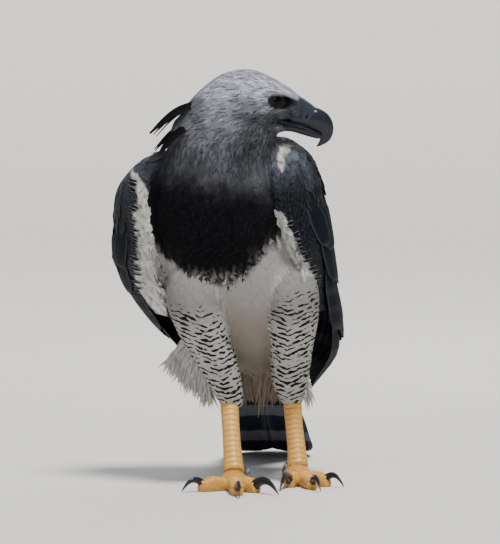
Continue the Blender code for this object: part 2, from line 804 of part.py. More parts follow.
def toe(pad, heading, length, name):
    """One toe, its scutes raised on the top of its own surface."""
    way = Vector((math.sin(math.radians(heading)), -math.cos(math.radians(heading)), 0))
    across = Vector((-way.y, way.x, 0))
    plates = TOE_SCUTES[name]
    rings = []
    rows = plates * 2 + 2
    for i in range(rows):
        t = i / (rows - 1)
        swell = 1 + 0.07 * math.cos(math.tau * t * (2.5 if length > 60 else 1.6))
        radius = spline((10.6, 10.2, 9.8, 9.3, 8.4), t) * swell
        if t > 0.97:
            radius *= 0.72
        raise_by = SCUTE_RAISE if i % 2 and i < rows - 1 else 0
        height = radius - SOLE_SINK
        centre = Vector((pad[0], pad[1], height)) + way * length * t
        rings.append(ring(centre, across, Vector((0, 0, 1)), radius, radius + raise_by, radius, 8, 2.2))
    return loft("toe_" + name, rings, "foot_skin"), way


def talon(name, pad, way, toe_length, length, half_height):
    """A claw that arches up from its toe and comes down to the floor."""
    start = Vector((pad[0], pad[1], 0)) + way * (toe_length - 6)
    keys = ((0.0, 9.5), (0.5, 21 + half_height), (1.0, 1.6))
    rings = []
    across = Vector((-way.y, way.x, 0))
    for t in steps(7):
        a, b, c = (Vector((way.x * k * length, way.y * k * length, z)) for k, z in keys)
        place = start + a * (1 - t) ** 2 + b * 2 * t * (1 - t) + c * t * t
        ahead = ((b - a) * (1 - t) + (c - b) * t).normalized()
        up = across.cross(ahead).normalized()
        if up.z < 0 and abs(up.z) > 0.01:
            up = -up
        size = half_height * (1 - t) ** 0.75 + 0.45
        rings.append(ring(place, across, up, size * 0.74, size, size, 8))
    return loft(name, rings, "horn")


def build_leg(side, torso):
    """Feathered thigh, scaled tarsus, foot and four talons."""
    thigh = limb("thigh_" + side, THIGHS[side], "leg_feathers", 12, 16, 2.1)
    scutes = 9
    tarsus = limb(
        "tarsus_" + side, TARSI[side], "foot_skin", 2 * scutes + 2, 10, 2.2,
        raised=lambda t: SCUTE_RAISE * (round(t * (2 * scutes + 1)) % 2),
    )
    pad, toes = FEET[side]
    bm = bmesh.new()
    bmesh.ops.create_uvsphere(bm, u_segments=14, v_segments=8, radius=1)
    bmesh.ops.scale(bm, vec=(17, 17, 13), verts=bm.verts)
    bmesh.ops.translate(bm, verts=bm.verts, vec=(pad[0], pad[1], 12.5))
    foot = add_object("foot_" + side, bm, "foot_skin")
    digits, claws = [], []
    for name, heading, length, claw_length, half_height in toes:
        digit, way = toe(pad, heading, length, name)
        digits.append(digit)
        claws.append(talon(f"talon_{side}_{name}", pad, way, length, claw_length, half_height))
    fuse(foot, digits)
    cut_flat(foot, (0, 0, 0), (0, 0, -1))
    whole_thigh = grown(thigh)
    meet(thigh, torso)
    meet(tarsus, whole_thigh)
    meet(foot, tarsus)
    for claw in claws:
        meet(claw, foot)
    return whole_thigh


def centre_on_floor():
    """Moves the whole bird so that its box is centred over the origin."""
    corners = [v.co for obj in PARTS.objects for v in obj.data.vertices]
    middle_x = (min(c.x for c in corners) + max(c.x for c in corners)) / 2
    middle_y = (min(c.y for c in corners) + max(c.y for c in corners)) / 2
    for obj in PARTS.objects:
        obj.data.transform(Matrix.Translation((-middle_x, -middle_y, 0)))
        obj.data.shade_smooth()
        obj.data.set_sharp_from_angle(angle=math.radians(40))
    print(f"moved by {-middle_x:.6f} {-middle_y:.6f}")


def main():
    torso = build_torso()
    whole_torso = grown(torso)
    head, whole_head = build_head()
    thighs = [build_leg(side, whole_torso) for side in ("right", "left")]
    meet(head, whole_torso)
    crest = cut_flat(head, (-66, 0, 492), (-0.87, 0, 0.5), "crest", "crest_feathers")
    cut_flat(head, (0, 0, 459), (0, 0, -1), "neck", "head_feathers")
    vent = build_vent()
    meet(vent, whole_torso, *thighs)
    tail = build_tail()
    meet(tail, whole_torso, vent)
    cut_flat(torso, (0, 0, 287), (0, -0.3, 1), "breast", "breast_feathers")
    fuse(crest, crest_feathers())
    meet(crest, head)
    hosts = [whole_torso, *whole_head, crest, *thighs, vent, tail]
    for side, name in ((-1, "wing_right"), (1, "wing_left")):
        wing = build_wing(side, name)
        meet(wing, *hosts)
    for cutter in list(CUTTERS.objects):
        remove(cutter)
    centre_on_floor()


for leftover in list(bpy.data.objects):
    bpy.data.objects.remove(leftover)
PARTS = collection("HarpyEagle")
CUTTERS = collection("Cutters")
CUTTERS.hide_render = True
main()
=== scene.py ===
"""Harpy eagle at life size: one skin over its solids, and every feather, scute and claw on it.

Sizes in the tables are millimetres in the bird's own frame, in which its toes and chest face -Y and
its bill points to +X. in_world moves them into the shared frame, in metres.
"""

import itertools
import math
from typing import NamedTuple

import bmesh
import bpy
import numpy as np
from bpy.props import FloatProperty, FloatVectorProperty, IntProperty, PointerProperty
from mathutils import Matrix, Vector
from mathutils.bvhtree import BVHTree


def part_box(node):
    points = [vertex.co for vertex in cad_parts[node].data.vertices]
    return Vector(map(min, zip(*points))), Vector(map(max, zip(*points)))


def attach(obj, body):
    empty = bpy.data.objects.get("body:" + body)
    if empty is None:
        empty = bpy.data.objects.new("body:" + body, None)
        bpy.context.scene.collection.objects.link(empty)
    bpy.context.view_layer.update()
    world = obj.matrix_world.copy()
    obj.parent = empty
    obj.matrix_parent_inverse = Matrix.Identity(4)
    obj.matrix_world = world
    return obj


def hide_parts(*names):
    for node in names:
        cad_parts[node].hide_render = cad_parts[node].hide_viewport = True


bl_info = {
    "name": "Harpy Eagle",
    "version": (1, 0, 0),
    "blender": (4, 5, 0),
    "location": "3D View > Sidebar > Eagle",
    "description": "Builds the skin, plumage, bill, eyes and feet of a life-size harpy eagle",
    "category": "Object",
}

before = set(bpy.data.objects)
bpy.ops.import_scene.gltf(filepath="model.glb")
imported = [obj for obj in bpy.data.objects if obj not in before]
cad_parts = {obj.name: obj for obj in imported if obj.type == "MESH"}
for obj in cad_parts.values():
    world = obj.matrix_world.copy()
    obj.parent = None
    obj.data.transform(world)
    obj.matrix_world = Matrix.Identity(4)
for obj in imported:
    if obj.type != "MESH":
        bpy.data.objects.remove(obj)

MM = 0.001

# The stance of the body, and where head and eyes are
TURN = math.radians(-5)
TURN_CENTRE_Y = 40
LEAN_LOW, LEAN_HIGH = 150, 400
LEAN_AT_VENT, LEAN_AT_SHOULDER = 10, -30
SHOULDER_TILT = 0.15
HEAD_Y = -10
EYE_X, EYE_Z, EYE_OUT, EYE_RADIUS = 46.8, 507, 25, 11.5
CERE_CENTRE = (84, -10, 488)

# Torso: x, y, z, half width, depth to the belly, depth to the back
TORSO = (
    (0, -2, 472, 46, 44, 42),
    (0, 2, 450, 64, 56, 54),
    (0, 8, 421, 79, 68, 63),
    (0, 18, 385, 87, 78, 70),
    (0, 32, 345, 91, 84, 74),
    (0, 48, 305, 92, 84, 76),
    (0, 66, 265, 89, 80, 76),
    (0, 86, 228, 80, 70, 70),
    (0, 108, 196, 66, 54, 56),
    (0, 132, 172, 46, 36, 38),
    (0, 152, 158, 24, 18, 18),
)
NECK = (
    (-26, 10, 392, 68, 62, 62),
    (-26, 5, 413, 71, 62, 62),
    (-26, 0, 432, 70, 57, 57),
    (-22, -4, 448, 69, 54, 54),
    (-17, -7, 465, 67, 51, 51),
    (-14, -9, 481, 60, 48, 48),
    (-10, -10, 497, 50, 44, 44),
    (-6, -10, 512, 36, 36, 36),
)
VENT = (
    (-6, 96, 196, 66, 24, 20),
    (-7, 104, 178, 74, 24, 22),
    (-8, 112, 160, 74, 20, 20),
    (-9, 120, 144, 64, 13, 15),
    (-10, 126, 132, 46, 6, 7),
)
THIGHS = {
    "right": (
        (-46, 12, 292, 30, 36, 36),
        (-58, 8, 258, 40, 48, 44),
        (-51, 14, 222, 37, 45, 44),
        (-39, 26, 186, 29, 37, 40),
        (-27, 38, 158, 25, 30, 33),
        (-18, 49, 133, 21, 25, 27),
        (-12, 55, 113, 17, 20, 21),
        (-11, 54, 101, 14, 15, 15),
    ),
    "left": (
        (50, 30, 292, 30, 36, 36),
        (64, 26, 258, 39, 48, 44),
        (68, 34, 222, 36, 45, 44),
        (67, 47, 186, 30, 37, 40),
        (66, 62, 158, 27, 30, 33),
        (65, 76, 135, 24, 26, 28),
        (67, 86, 116, 18.5, 20, 21),
        (68, 86, 103, 14, 15, 15),
    ),
}
TARSI = {
    "right": (
        (-17, 62, 128, 11, 11, 11),
        (-14, 50, 104, 12, 12, 12),
        (-12, 30, 76, 11.5, 11, 12),
        (-10, 10, 48, 12, 12, 12),
        (-8, -7, 22, 14, 13, 13),
    ),
    "left": (
        (68, 96, 130, 11, 11, 11),
        (69, 88, 106, 12, 12, 12),
        (71, 80, 76, 11.5, 11, 12),
        (74, 71, 48, 12, 12, 12),
        (76, 61, 22, 14, 13, 13),
    ),
}
# Head and chin from nape to forehead: x, top z, bottom z, half width
HEAD = (
    (-68, 499, 470, 20),
    (-58, 512, 456, 33),
    (-42, 527, 444, 41),
    (-24, 539, 444, 45.5),
    (-5, 545, 446, 47),
    (13, 546, 452, 45.5),
    (31, 541, 460, 41),
    (47, 533, 480, 35.5),
    (62, 524, 481, 28.5),
    (75, 515, 476, 21),
    (84, 508, 474, 15),
)
CHIN = (
    (20, 500, 459, 34),
    (34, 488, 461, 27),
    (48, 480, 464, 19),
    (60, 477, 466.5, 12),
)
BROW = ((24, 513), (36, 518.5), (52, 516.5), (70, 508.5))
# Cere and bill: top x, z, bottom x, z, half width
CERE = (
    (66, 516, 66, 478, 19),
    (78, 512, 76, 475, 16),
    (90, 504, 82, 473.5, 13.6),
    (98.5, 497, 86, 471.5, 12.4),
)
BILL_UPPER = (
    (93, 497, 82, 474, 10.5),
    (99.5, 497.5, 87, 471.2, 11.9),
    (108, 493.5, 94, 468.4, 11),
    (115.5, 487, 100, 465.5, 9.4),
    (120.5, 477, 104, 462.5, 7.4),
    (121, 466, 104.5, 458.5, 5.4),
    (117.5, 456.5, 103, 454.5, 3.6),
    (110.5, 450.4, 101.2, 450.8, 2.3),
    (101, 446.4, 98.8, 447.4, 0.9),
)
BILL_LOWER = (
    (40, 484, 40, 467, 12),
    (54, 480, 54, 467, 12),
    (68, 479, 69, 465.4, 11.5),
    (82, 475.8, 84, 461, 10.2),
    (94, 471.5, 96, 457.6, 8.2),
    (103, 466.5, 104, 456.6, 5.4),
    (108.5, 461.5, 109, 457.5, 2.6),
)
MOUTH = (
    (46, 485, 46, 474, 8),
    (58, 483, 58, 472, 10),
    (70, 481, 70, 470, 10),
    (82, 477, 82, 467, 9),
    (90, 473, 90, 464, 7),
)
# A folded wing's outer surface from shoulder to tip
WING_FRONT = (
    (86, -4, 440), (96, -26, 402), (86, -24, 350), (98, -12, 300),
    (100, 22, 250), (99, 62, 205), (90, 118, 158), (72, 200, 108),
)
WING_BACK = (
    (62, 44, 452), (50, 88, 424), (34, 122, 372), (20, 145, 318),
    (12, 163, 264), (13, 181, 214), (24, 198, 164), (42, 216, 112),
)
LEFT_WING_LAP = (2, 13, 4, 0, 0, 0, 0, 0)
WING_BULGE = {
    1: (22, 60, 78, 76, 75, 74, 66, 24),
    -1: (24, 57, 80, 94, 101, 84, 44, 18),
}
WING_INNER = (-22, -22, -18, -14, -12, -6, -2, 0)
BULGE_FORWARD = 0.25
# Under the long feathers the wing's flesh sinks: how deep, and from which t to which
WING_SINK, SINK_START, SINK_END = 13, 0.34, 0.64

TAIL_ROOT_Y, TAIL_ROOT_Z, TAIL_LENGTH, TAIL_FLAT = 140, 180, 388, 60
TAIL_FEATHERS, TAIL_WIDTH, TAIL_HALF_FAN = 12, 54, 36

# Toes: heading in degrees from straight ahead, length, claw length, claw half height, scutes
FEET = {
    "right": (
        (-8, -14),
        {
            "hind": (166, 46, 58, 7.5, 6),
            "inner": (38, 50, 50, 7.2, 7),
            "middle": (4, 76, 40, 6, 12),
            "outer": (-60, 52, 32, 5, 8),
        },
    ),
    "left": (
        (76, 56),
        {
            "hind": (-168, 46, 58, 7.5, 6),
            "inner": (-15, 50, 50, 7.2, 7),
            "middle": (15, 76, 40, 6, 12),
            "outer": (48, 54, 32, 5, 8),
        },
    ),
}
SOLE_SINK = 1.3
FOOT_STEP = 0.0012  # the size of the feet's faces, in metres

# Where the plumage changes: x and z of the breast band's lower edge, seen from the front
BAND_LOW = (
    (-130, 330), (-116, 315), (-86, 293), (-62, 274), (-38, 267),
    (-9, 269), (17, 287), (34, 309), (51, 329), (62, 350),
)
# The white lining along the front of each wing: height seen from the front, then x where it starts and ends
WHITE_LINING = {
    -1: (
        (232, -112, -96), (237, -121, -95), (244, -135, -91), (254, -140, -93),
        (272, -137, -97), (286, -139, -101), (300, -138, -104), (314, -135, -109),
        (334, -137, -113), (350, -140, -113), (361, -141, -114), (368, -137, -114.5),
        (380, -132, -117), (390, -137, -120.5), (400, -139, -126.5), (409, -142, -133),
        (415, -142, -140),
    ),
    1: (
        (250, 95, 95), (256, 91, 97), (264, 85, 99), (274, 79, 101),
        (290, 71, 92), (302, 65, 83), (308, 62, 76), (321, 55, 73),
        (332, 49, 71), (341, 44, 61), (345, 46, 63), (358, 40, 56),
        (365, 38, 41), (368, 40, 40), (411, 54, 54), (416, 52, 56),
        (425, 49, 56.5), (434, 49, 57), (438, 49, 63), (442, 51, 66),
        (447, 52, 66), (450, 56, 56),
    ),
}
# Where the tips of the left shoulder's rear feathers show, and where the feathers start: x and height
REAR_FEATHERS = (
    (92, 433, 64, 451),
    (100, 421, 74, 444),
    (106, 408, 83, 436),
    (111, 394, 91, 425),
    (113, 383, 96, 413),
)
# How far the camera looks down, and the place it looks at
VIEW_RISE = math.radians(4)
VIEW_TARGET = (13, 0, 283)
# Where the coat changes: the top of the legs, the top of the belly, and the t where small coverts end
HIP_Z, BELLY_Z, COVERTS_END = 238, 330, 0.42

BEIGE = np.array((0.22, 0.175, 0.13))
PLUME_BEIGE = np.array((0.235, 0.19, 0.145))
LORES = np.array((0.055, 0.062, 0.077))
# Painted light: the pale blue added where light falls on the top of a wing's shoulder
SHOULDER_PAINTED_LIGHT = np.array((0.1, 0.116, 0.145))

# The regions of the skin
ON_HEAD, ON_NECK, ON_TORSO, ON_VENT, ON_TAIL = range(5)
ON_RIGHT_LEG, ON_LEFT_LEG, ON_RIGHT_WING, ON_LEFT_WING = range(5, 9)
LEG_REGIONS = {"right": ON_RIGHT_LEG, "left": ON_LEFT_LEG}
WING_REGIONS = {-1: ON_RIGHT_WING, 1: ON_LEFT_WING}

# The rows of long feathers on a folded wing, the lowest layer first. A pair is a value
# for the front feather and its change over the row, first for the t and then for the c.
C0 = 0.25  # the c of the foremost long feathers
WING_ROWS = (
    {
        "name": "primaries", "root": ((0.46, 0.05), (C0, 0.4 - C0)), "tip": ((1.0, -0.1), (0.25, 0.5)),
        "uneven": 0, "lifts": (-15, -11.5), "drop": 7.8, "width": 33.0, "tilt": 0.4, "thick": 0.5,
        "blunt": 0.3, "tone": (0.4, 0.08), "marks": (0.25, 0, 0.2), "patch": 0.9,
    },
    {
        "name": "secondaries", "root": ((0.44, 0), (C0 + 0.02, 0.84 - C0)),
        "tip": ((0.74, 0.15), (0.17, 0.69)),
        "uneven": 0.012, "lifts": (-10, -5), "drop": 0, "width": 36.0, "tilt": 2.2, "thick": 0.5,
        "blunt": 0.45, "tone": (0.35, 0.2), "marks": (0.25, 0, 0.12), "patch": 0.7,
    },
    {
        "name": "greater_coverts", "root": ((0.36, 0), (C0 - 0.02, 0.88 - C0)),
        "tip": ((0.55, 0.11), (C0 - 0.01, 0.87 - C0)),
        "uneven": 0.012, "lifts": (-5, -1), "drop": 0, "width": 34.0, "tilt": 2.0, "thick": 0.45,
        "blunt": 0.5, "tone": (0.4, 0.25), "marks": (0.3, 0, 0.0), "patch": 0.5,
    },
    {
        "name": "median_coverts", "root": ((0.27, 0), (C0 - 0.05, 0.93 - C0)),
        "tip": ((0.44, 0.07), (C0 - 0.05, 0.94 - C0)),
        "uneven": 0.015, "lifts": (-3, 1.6), "drop": 0, "width": 32.0, "tilt": 1.8, "thick": 0.45,
        "blunt": 0.5, "tone": (0.5, 0.3), "marks": (0.35, 0, 0.0), "patch": 0.3,
    },
)


def spline_at(keys, t):
    """Catmull-Rom values at every t from 0 to 1 through evenly spaced keys."""
    keys = np.asarray(keys, float)
    t = np.clip(np.asarray(t, float), 0, 1) * (len(keys) - 1)
    i = np.minimum(t.astype(int), len(keys) - 2)
    u = t - i
    if keys.ndim > 1:
        u = u[..., None]
    p, q, r, s = (keys[np.clip(i + k, 0, len(keys) - 1)] for k in (-1, 0, 1, 2))
    return 0.5 * (2 * q + (r - p) * u + (2 * p - 5 * q + 4 * r - s) * u * u + (3 * q - p - 3 * r + s) * u**3)


def part_of(value, low, high):
    """Where a value lies between low and high, from 0 to 1."""
    return np.clip((value - low) / (high - low), 0, 1)


def smooth(low, high, value):
    """0 at low, 1 at high, with soft ends. High may be the smaller one."""
    u = part_of(value, low, high)
    return u * u * (3 - 2 * u)


def blend(a, b, share):
    """From a to b, each a colour or a way, by a share for each point."""
    share = np.asarray(share)[..., None]
    return a * (1 - share) + b * share


def at_height(keys, z, *columns):
    """The asked columns of a table of rings that runs downwards, at each height."""
    keys = np.array(keys)[::-1]
    return [np.interp(z, keys[:, 2], keys[:, k]) for k in columns]


def unit(v):
    """Vectors of length one."""
    return v / np.maximum(np.linalg.norm(v, axis=-1, keepdims=True), 1e-9)


def vec(*parts):
    """Points from their parts, each a number or an array."""
    return np.stack(np.broadcast_arrays(*parts), -1).astype(float)


def in_pose(p):
    """From the straight body's frame to the stance."""
    x, y, z = p[..., 0], p[..., 1] - TURN_CENTRE_Y, p[..., 2]
    share = smooth(LEAN_LOW, LEAN_HIGH, z)
    lean = LEAN_AT_VENT + (LEAN_AT_SHOULDER - LEAN_AT_VENT) * share
    c, s = math.cos(TURN), math.sin(TURN)
    return vec(c * x - s * y + lean, s * x + c * y + TURN_CENTRE_Y, z + x * SHOULDER_TILT * share)


def shift():
    """What moves the bird's own frame to the shared one, read from the left eye's box."""
    low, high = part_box("eye_left")
    middle = (low + high) / 2 / MM
    return np.array((middle.x - EYE_X, middle.y - HEAD_Y - EYE_OUT, 0))


def in_world(p):
    """Places of the bird's own frame in the shared frame, in metres."""
    return (np.asarray(p, float) + shift()) * MM


def ripple(p, size):
    """A smooth, uneven wave from -1 to 1 over space."""
    x, y, z = p[..., 0] / size, p[..., 1] / size, p[..., 2] / size
    a = np.sin(x * 1.9 + 1.7 * np.sin(z * 1.3 + y * 0.7))
    b = np.sin(z * 2.3 + 1.4 * np.sin(x * 1.1 - y * 1.5) + 2.0)
    return (a + b) / 2


def section(angles, half, top, bottom, power):
    """Across and up offsets of a rounded section at each angle."""
    c, s = np.cos(angles), np.sin(angles)
    out = np.sign(c) * np.abs(c) ** (2 / power) * half
    rise = np.sign(s) * np.abs(s) ** (2 / power) * np.where(s > 0, top, bottom)
    return out, rise


def rings_of(centre, across, up, half, top, bottom, sides, power=2.1):
    """Rings round a path: centre, across and up have a row for each ring."""
    angles = np.linspace(0, math.tau, sides, endpoint=False)[None, :]
    out, rise = section(angles, half[:, None], top[:, None], bottom[:, None], power)
    return centre[:, None] + across[:, None] * out[..., None] + up[:, None] * rise[..., None]


def limb_rings(keys, count, sides, power=2.1, pose=None):
    """Rings along a limb. A key is x, y, z, half width, depth to the front, depth to the back."""
    t = np.linspace(0, 1, count)
    k = spline_at(keys, t)
    ahead = spline_at(keys, t + 0.02)[:, :3] - spline_at(keys, t - 0.02)[:, :3]
    across = np.tile((1.0, 0, 0), (count, 1))
    across = unit(across - ahead * (ahead[:, :1] / (ahead**2).sum(1, keepdims=True)))
    forward = unit(np.cross(across, ahead))
    forward *= np.where(forward[:, 1:2] > 0, -1, 1)
    rings = rings_of(k[:, :3], across, forward, k[:, 3], k[:, 4], k[:, 5], sides, power)
    return pose(rings) if pose else rings


def upright_rings(keys, count, sides, power):
    """Rings along X from keys of x, top z, bottom z and half width."""
    k = spline_at(keys, np.linspace(0, 1, count))
    centre = vec(k[:, 0], HEAD_Y, (k[:, 1] + k[:, 2]) / 2)
    reach = (k[:, 1] - k[:, 2]) / 2
    across, up = (np.tile(v, (count, 1)) for v in ((0.0, 1, 0), (0.0, 0, 1)))
    return rings_of(centre, across, up, k[:, 3], reach, reach, sides, power)


def bill_rings(keys, count, sides, power):
    """Rings along the bill from keys of top x and z, bottom x and z, and half width."""
    k = spline_at(keys, np.linspace(0, 1, count))
    top, low = vec(k[:, 0], HEAD_Y, k[:, 1]), vec(k[:, 2], HEAD_Y, k[:, 3])
    reach = np.linalg.norm(top - low, axis=1)
    up = unit(top - low)
    across = np.tile((0.0, 1, 0), (count, 1))
    centre = low + up * reach[:, None] * 0.4
    return rings_of(centre, across, up, k[:, 4], reach * 0.6, reach * 0.4, sides, power)


def wing_edges(side, t):
    """The front and back edges of a folded wing at each t, before its side's sign and the stance."""
    front, back = spline_at(WING_FRONT, t), spline_at(WING_BACK, t)
    if side > 0:
        front = front + np.array((-1, -0.8, 0)) * spline_at(LEFT_WING_LAP, t)[..., None]
    return front, back


def wing_at(side, t, c, lift, inner=False):
    """Points over a folded wing: t down it, c from its front edge to its back edge."""
    t, c, lift = np.broadcast_arrays(*(np.asarray(v, float) for v in (t, c, lift)))
    front, back = wing_edges(side, t)
    out = unit(vec(back[..., 1] - front[..., 1], front[..., 0] - back[..., 0], 0))
    forward = c * (1 + BULGE_FORWARD * (1 - c))
    depth = spline_at(WING_INNER, t) if inner else spline_at(WING_BULGE[side], t)
    place = front + (back - front) * c[..., None]
    place = place + out * (depth * np.sin(math.pi * np.clip(forward, -0.05, 1.05)) + lift)[..., None]
    place = place * np.array((side, 1, 1))
    return in_pose(place)


def wing_core_rings(side):
    """Rings down the flesh of a wing, and their t and c. c below 0 is the inner face."""
    t = np.linspace(0, 0.66, 40)
    outer, inner = np.linspace(0, 1, 34), np.linspace(1, 0, 20)[1:-1]
    sink = wing_sink(t)[:, None]
    face = wing_at(side, t[:, None], outer[None], -sink)
    forward = inner * (1 + BULGE_FORWARD * (1 - inner))
    drop = (spline_at(WING_INNER, t) - spline_at(WING_BULGE[side], t))[:, None]
    drop = drop * np.sin(math.pi * forward)[None]
    lining = wing_at(side, t[:, None], inner[None], np.minimum(drop, -sink - 5))
    places = np.concatenate((face, lining), 1)
    across = np.tile(np.concatenate((outer, -inner)), (len(t), 1))
    return places, np.tile(t[:, None], (1, across.shape[1])), across


def wing_sink(t):
    """How deep a wing's flesh lies under the long feathers' surface."""
    return WING_SINK * smooth(SINK_START, SINK_END, t)


def tail_line(distance, lift):
    """The tail's middle line: down and back, then level at the floor."""
    run = TAIL_LENGTH - TAIL_FLAT
    drop = (TAIL_ROOT_Z - 1.0) / run
    back, bend = math.sqrt(1 - drop * drop), 50
    over = np.maximum(distance - run + bend, 0)
    u = np.minimum(over / (2 * bend), 1)
    straight = np.minimum(distance, run - bend)
    y = TAIL_ROOT_Y + straight * back + over * (back + (1 - back) * u * 0.5)
    z = TAIL_ROOT_Z - straight * drop - 2 * bend * drop * (u - u * u / 2)
    return y + lift * drop * 0.5, z + lift


def tube_faces(count, rows, sides):
    """Corner numbers of the faces of many closed tubes, each rows x sides, with capped ends."""
    s, r = np.meshgrid(np.arange(rows - 1), np.arange(sides), indexing="ij")
    a = s * sides + r
    b = s * sides + (r + 1) % sides
    quads = np.stack((a, b, b + sides, a + sides), -1).reshape(-1, 4)
    base = np.arange(count)[:, None] * rows * sides
    walls = (base[:, :, None] + quads[None]).reshape(-1, 4)
    caps = np.stack((np.arange(sides)[::-1], np.arange(sides) + (rows - 1) * sides))
    return walls, (base[:, :, None] + caps[None]).reshape(-1, sides)


def new_object(name, mesh):
    """A mesh, lamp or camera as an object of the scene."""
    made = bpy.data.objects.new(name, mesh)
    bpy.context.scene.collection.objects.link(made)
    return made


def tubes(name, rings, tint=None, marks=None, place=None, patch=0.003, sharp=60):
    """An object of closed tubes from rings of shape (how many, rows, sides, 3), in millimetres.

    The sides are even in number. tint and marks are colours for each ring or point, and place is
    each tube's spot on the unwrapped bird.
    """
    rings = np.asarray(rings, float)
    if rings.ndim == 3:
        rings = rings[None]
    count, rows, sides = rings.shape[:3]
    walls, caps = tube_faces(count, rows, sides)
    points = in_world(rings).reshape(-1, 3)
    loops = np.concatenate((walls.ravel(), caps.ravel()))
    totals = np.concatenate((np.full(len(walls), 4), np.full(len(caps), sides)))
    mesh = bpy.data.meshes.new(name)
    mesh.vertices.add(len(points))
    mesh.vertices.foreach_set("co", points.ravel())
    mesh.loops.add(len(loops))
    mesh.loops.foreach_set("vertex_index", loops)
    mesh.polygons.add(len(totals))
    mesh.polygons.foreach_set("loop_start", np.concatenate(((0,), np.cumsum(totals)[:-1])))
    mesh.polygons.foreach_set("use_smooth", np.ones(len(totals), bool))
    mesh.update(calc_edges=True)
    over = sides // 2 + 1
    uv = np.empty((count, rows, sides, 2))
    uv[..., 0] = np.concatenate((np.linspace(0, 1, over), np.linspace(1, 0, over)[1:-1]))
    uv[..., 1] = np.linspace(0, 1, rows)[None, :, None]
    lay_uv(mesh, "feather", uv.reshape(-1, 2), loops)
    if place is not None:
        spot = np.asarray(place, float)[:, None, None, :] + (uv - 0.5) * patch
        lay_uv(mesh, "OFBake", spot.reshape(-1, 2), loops)
    for key, value in (("tint", tint), ("marks", marks)):
        if value is not None:
            paint(mesh, key, np.broadcast_to(value, (count, rows, sides, 3)).reshape(-1, 3))
    if sharp:
        mesh.set_sharp_from_angle(angle=math.radians(sharp))
    return new_object(name, mesh)


def lay_uv(mesh, name, spots, loops):
    """A UV map from one spot for each point."""
    layer = mesh.uv_layers.new(name=name)
    layer.data.foreach_set("uv", spots[loops].astype(np.float32).ravel())


def paint(mesh, name, colours):
    """A colour for each point under a name that the materials read."""
    layer = mesh.attributes.new(name, "FLOAT_COLOR", "POINT")
    full = np.ones((len(colours), 4), np.float32)
    full[:, :3] = colours
    layer.data.foreach_set("color", full.ravel())


def finish_piece(obj, material, replaced=()):
    """Gives a piece its material and slot, and lets it ride on the body."""
    if not obj.data.polygons:
        raise RuntimeError(f"{obj.name} has no faces")
    obj.data.materials.clear()
    obj.data.materials.append(material)
    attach(obj, "root")
    if replaced:
        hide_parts(*replaced)


def only(obj):
    """Selects one object and makes it active."""
    bpy.ops.object.select_all(action="DESELECT")
    obj.select_set(True)
    bpy.context.view_layer.objects.active = obj


def joined(name, pieces):
    """One object of several, in the place of the first."""
    only(pieces[0])
    for piece in pieces[1:]:
        piece.select_set(True)
    bpy.ops.object.join()
    pieces[0].name = name
    return pieces[0]


def even_skin(obj, step, turns):
    """Grows the shapes of an object together as one skin of even faces, and softens it."""
    remesh = obj.modifiers.new("even", "REMESH")
    remesh.mode = "VOXEL"
    remesh.voxel_size = step
    soft = obj.modifiers.new("soft", "SMOOTH")
    soft.factor = 0.5
    soft.iterations = turns
    apply_all(obj)


def values_of(group, key, size=3, kind=float):
    """One value of each item in a group of a mesh's points, edges or faces, as rows of an array."""
    values = np.empty(len(group) * size, kind)
    group.foreach_get(key, values)
    return values.reshape(-1, size)


def apply_all(obj):
    """Applies an object's modifiers."""
    only(obj)
    for modifier in list(obj.modifiers):
        bpy.ops.object.modifier_apply(modifier=modifier.name)


# Materials


class Value:
    """A socket of a shader that can be used in sums."""

    def __init__(self, shader, socket):
        self.shader = shader
        self.socket = socket

    def __add__(self, other):
        return self.shader.maths("ADD", self, other)

    def __radd__(self, other):
        return self.shader.maths("ADD", other, self)

    def __sub__(self, other):
        return self.shader.maths("SUBTRACT", self, other)

    def __rsub__(self, other):
        return self.shader.maths("SUBTRACT", other, self)

    def __mul__(self, other):
        return self.shader.maths("MULTIPLY", self, other)

    def __rmul__(self, other):
        return self.shader.maths("MULTIPLY", other, self)

    def step(self, low, high):
        """0 below low, 1 above high, smooth between."""
        settings = {"interpolation_type": "SMOOTHSTEP"}
        return self.shader.node("ShaderNodeMapRange", settings, {0: self, 1: low, 2: high})

    def sine(self):
        return self.shader.maths("SINE", self)

    def absolute(self):
        return self.shader.maths("ABSOLUTE", self)


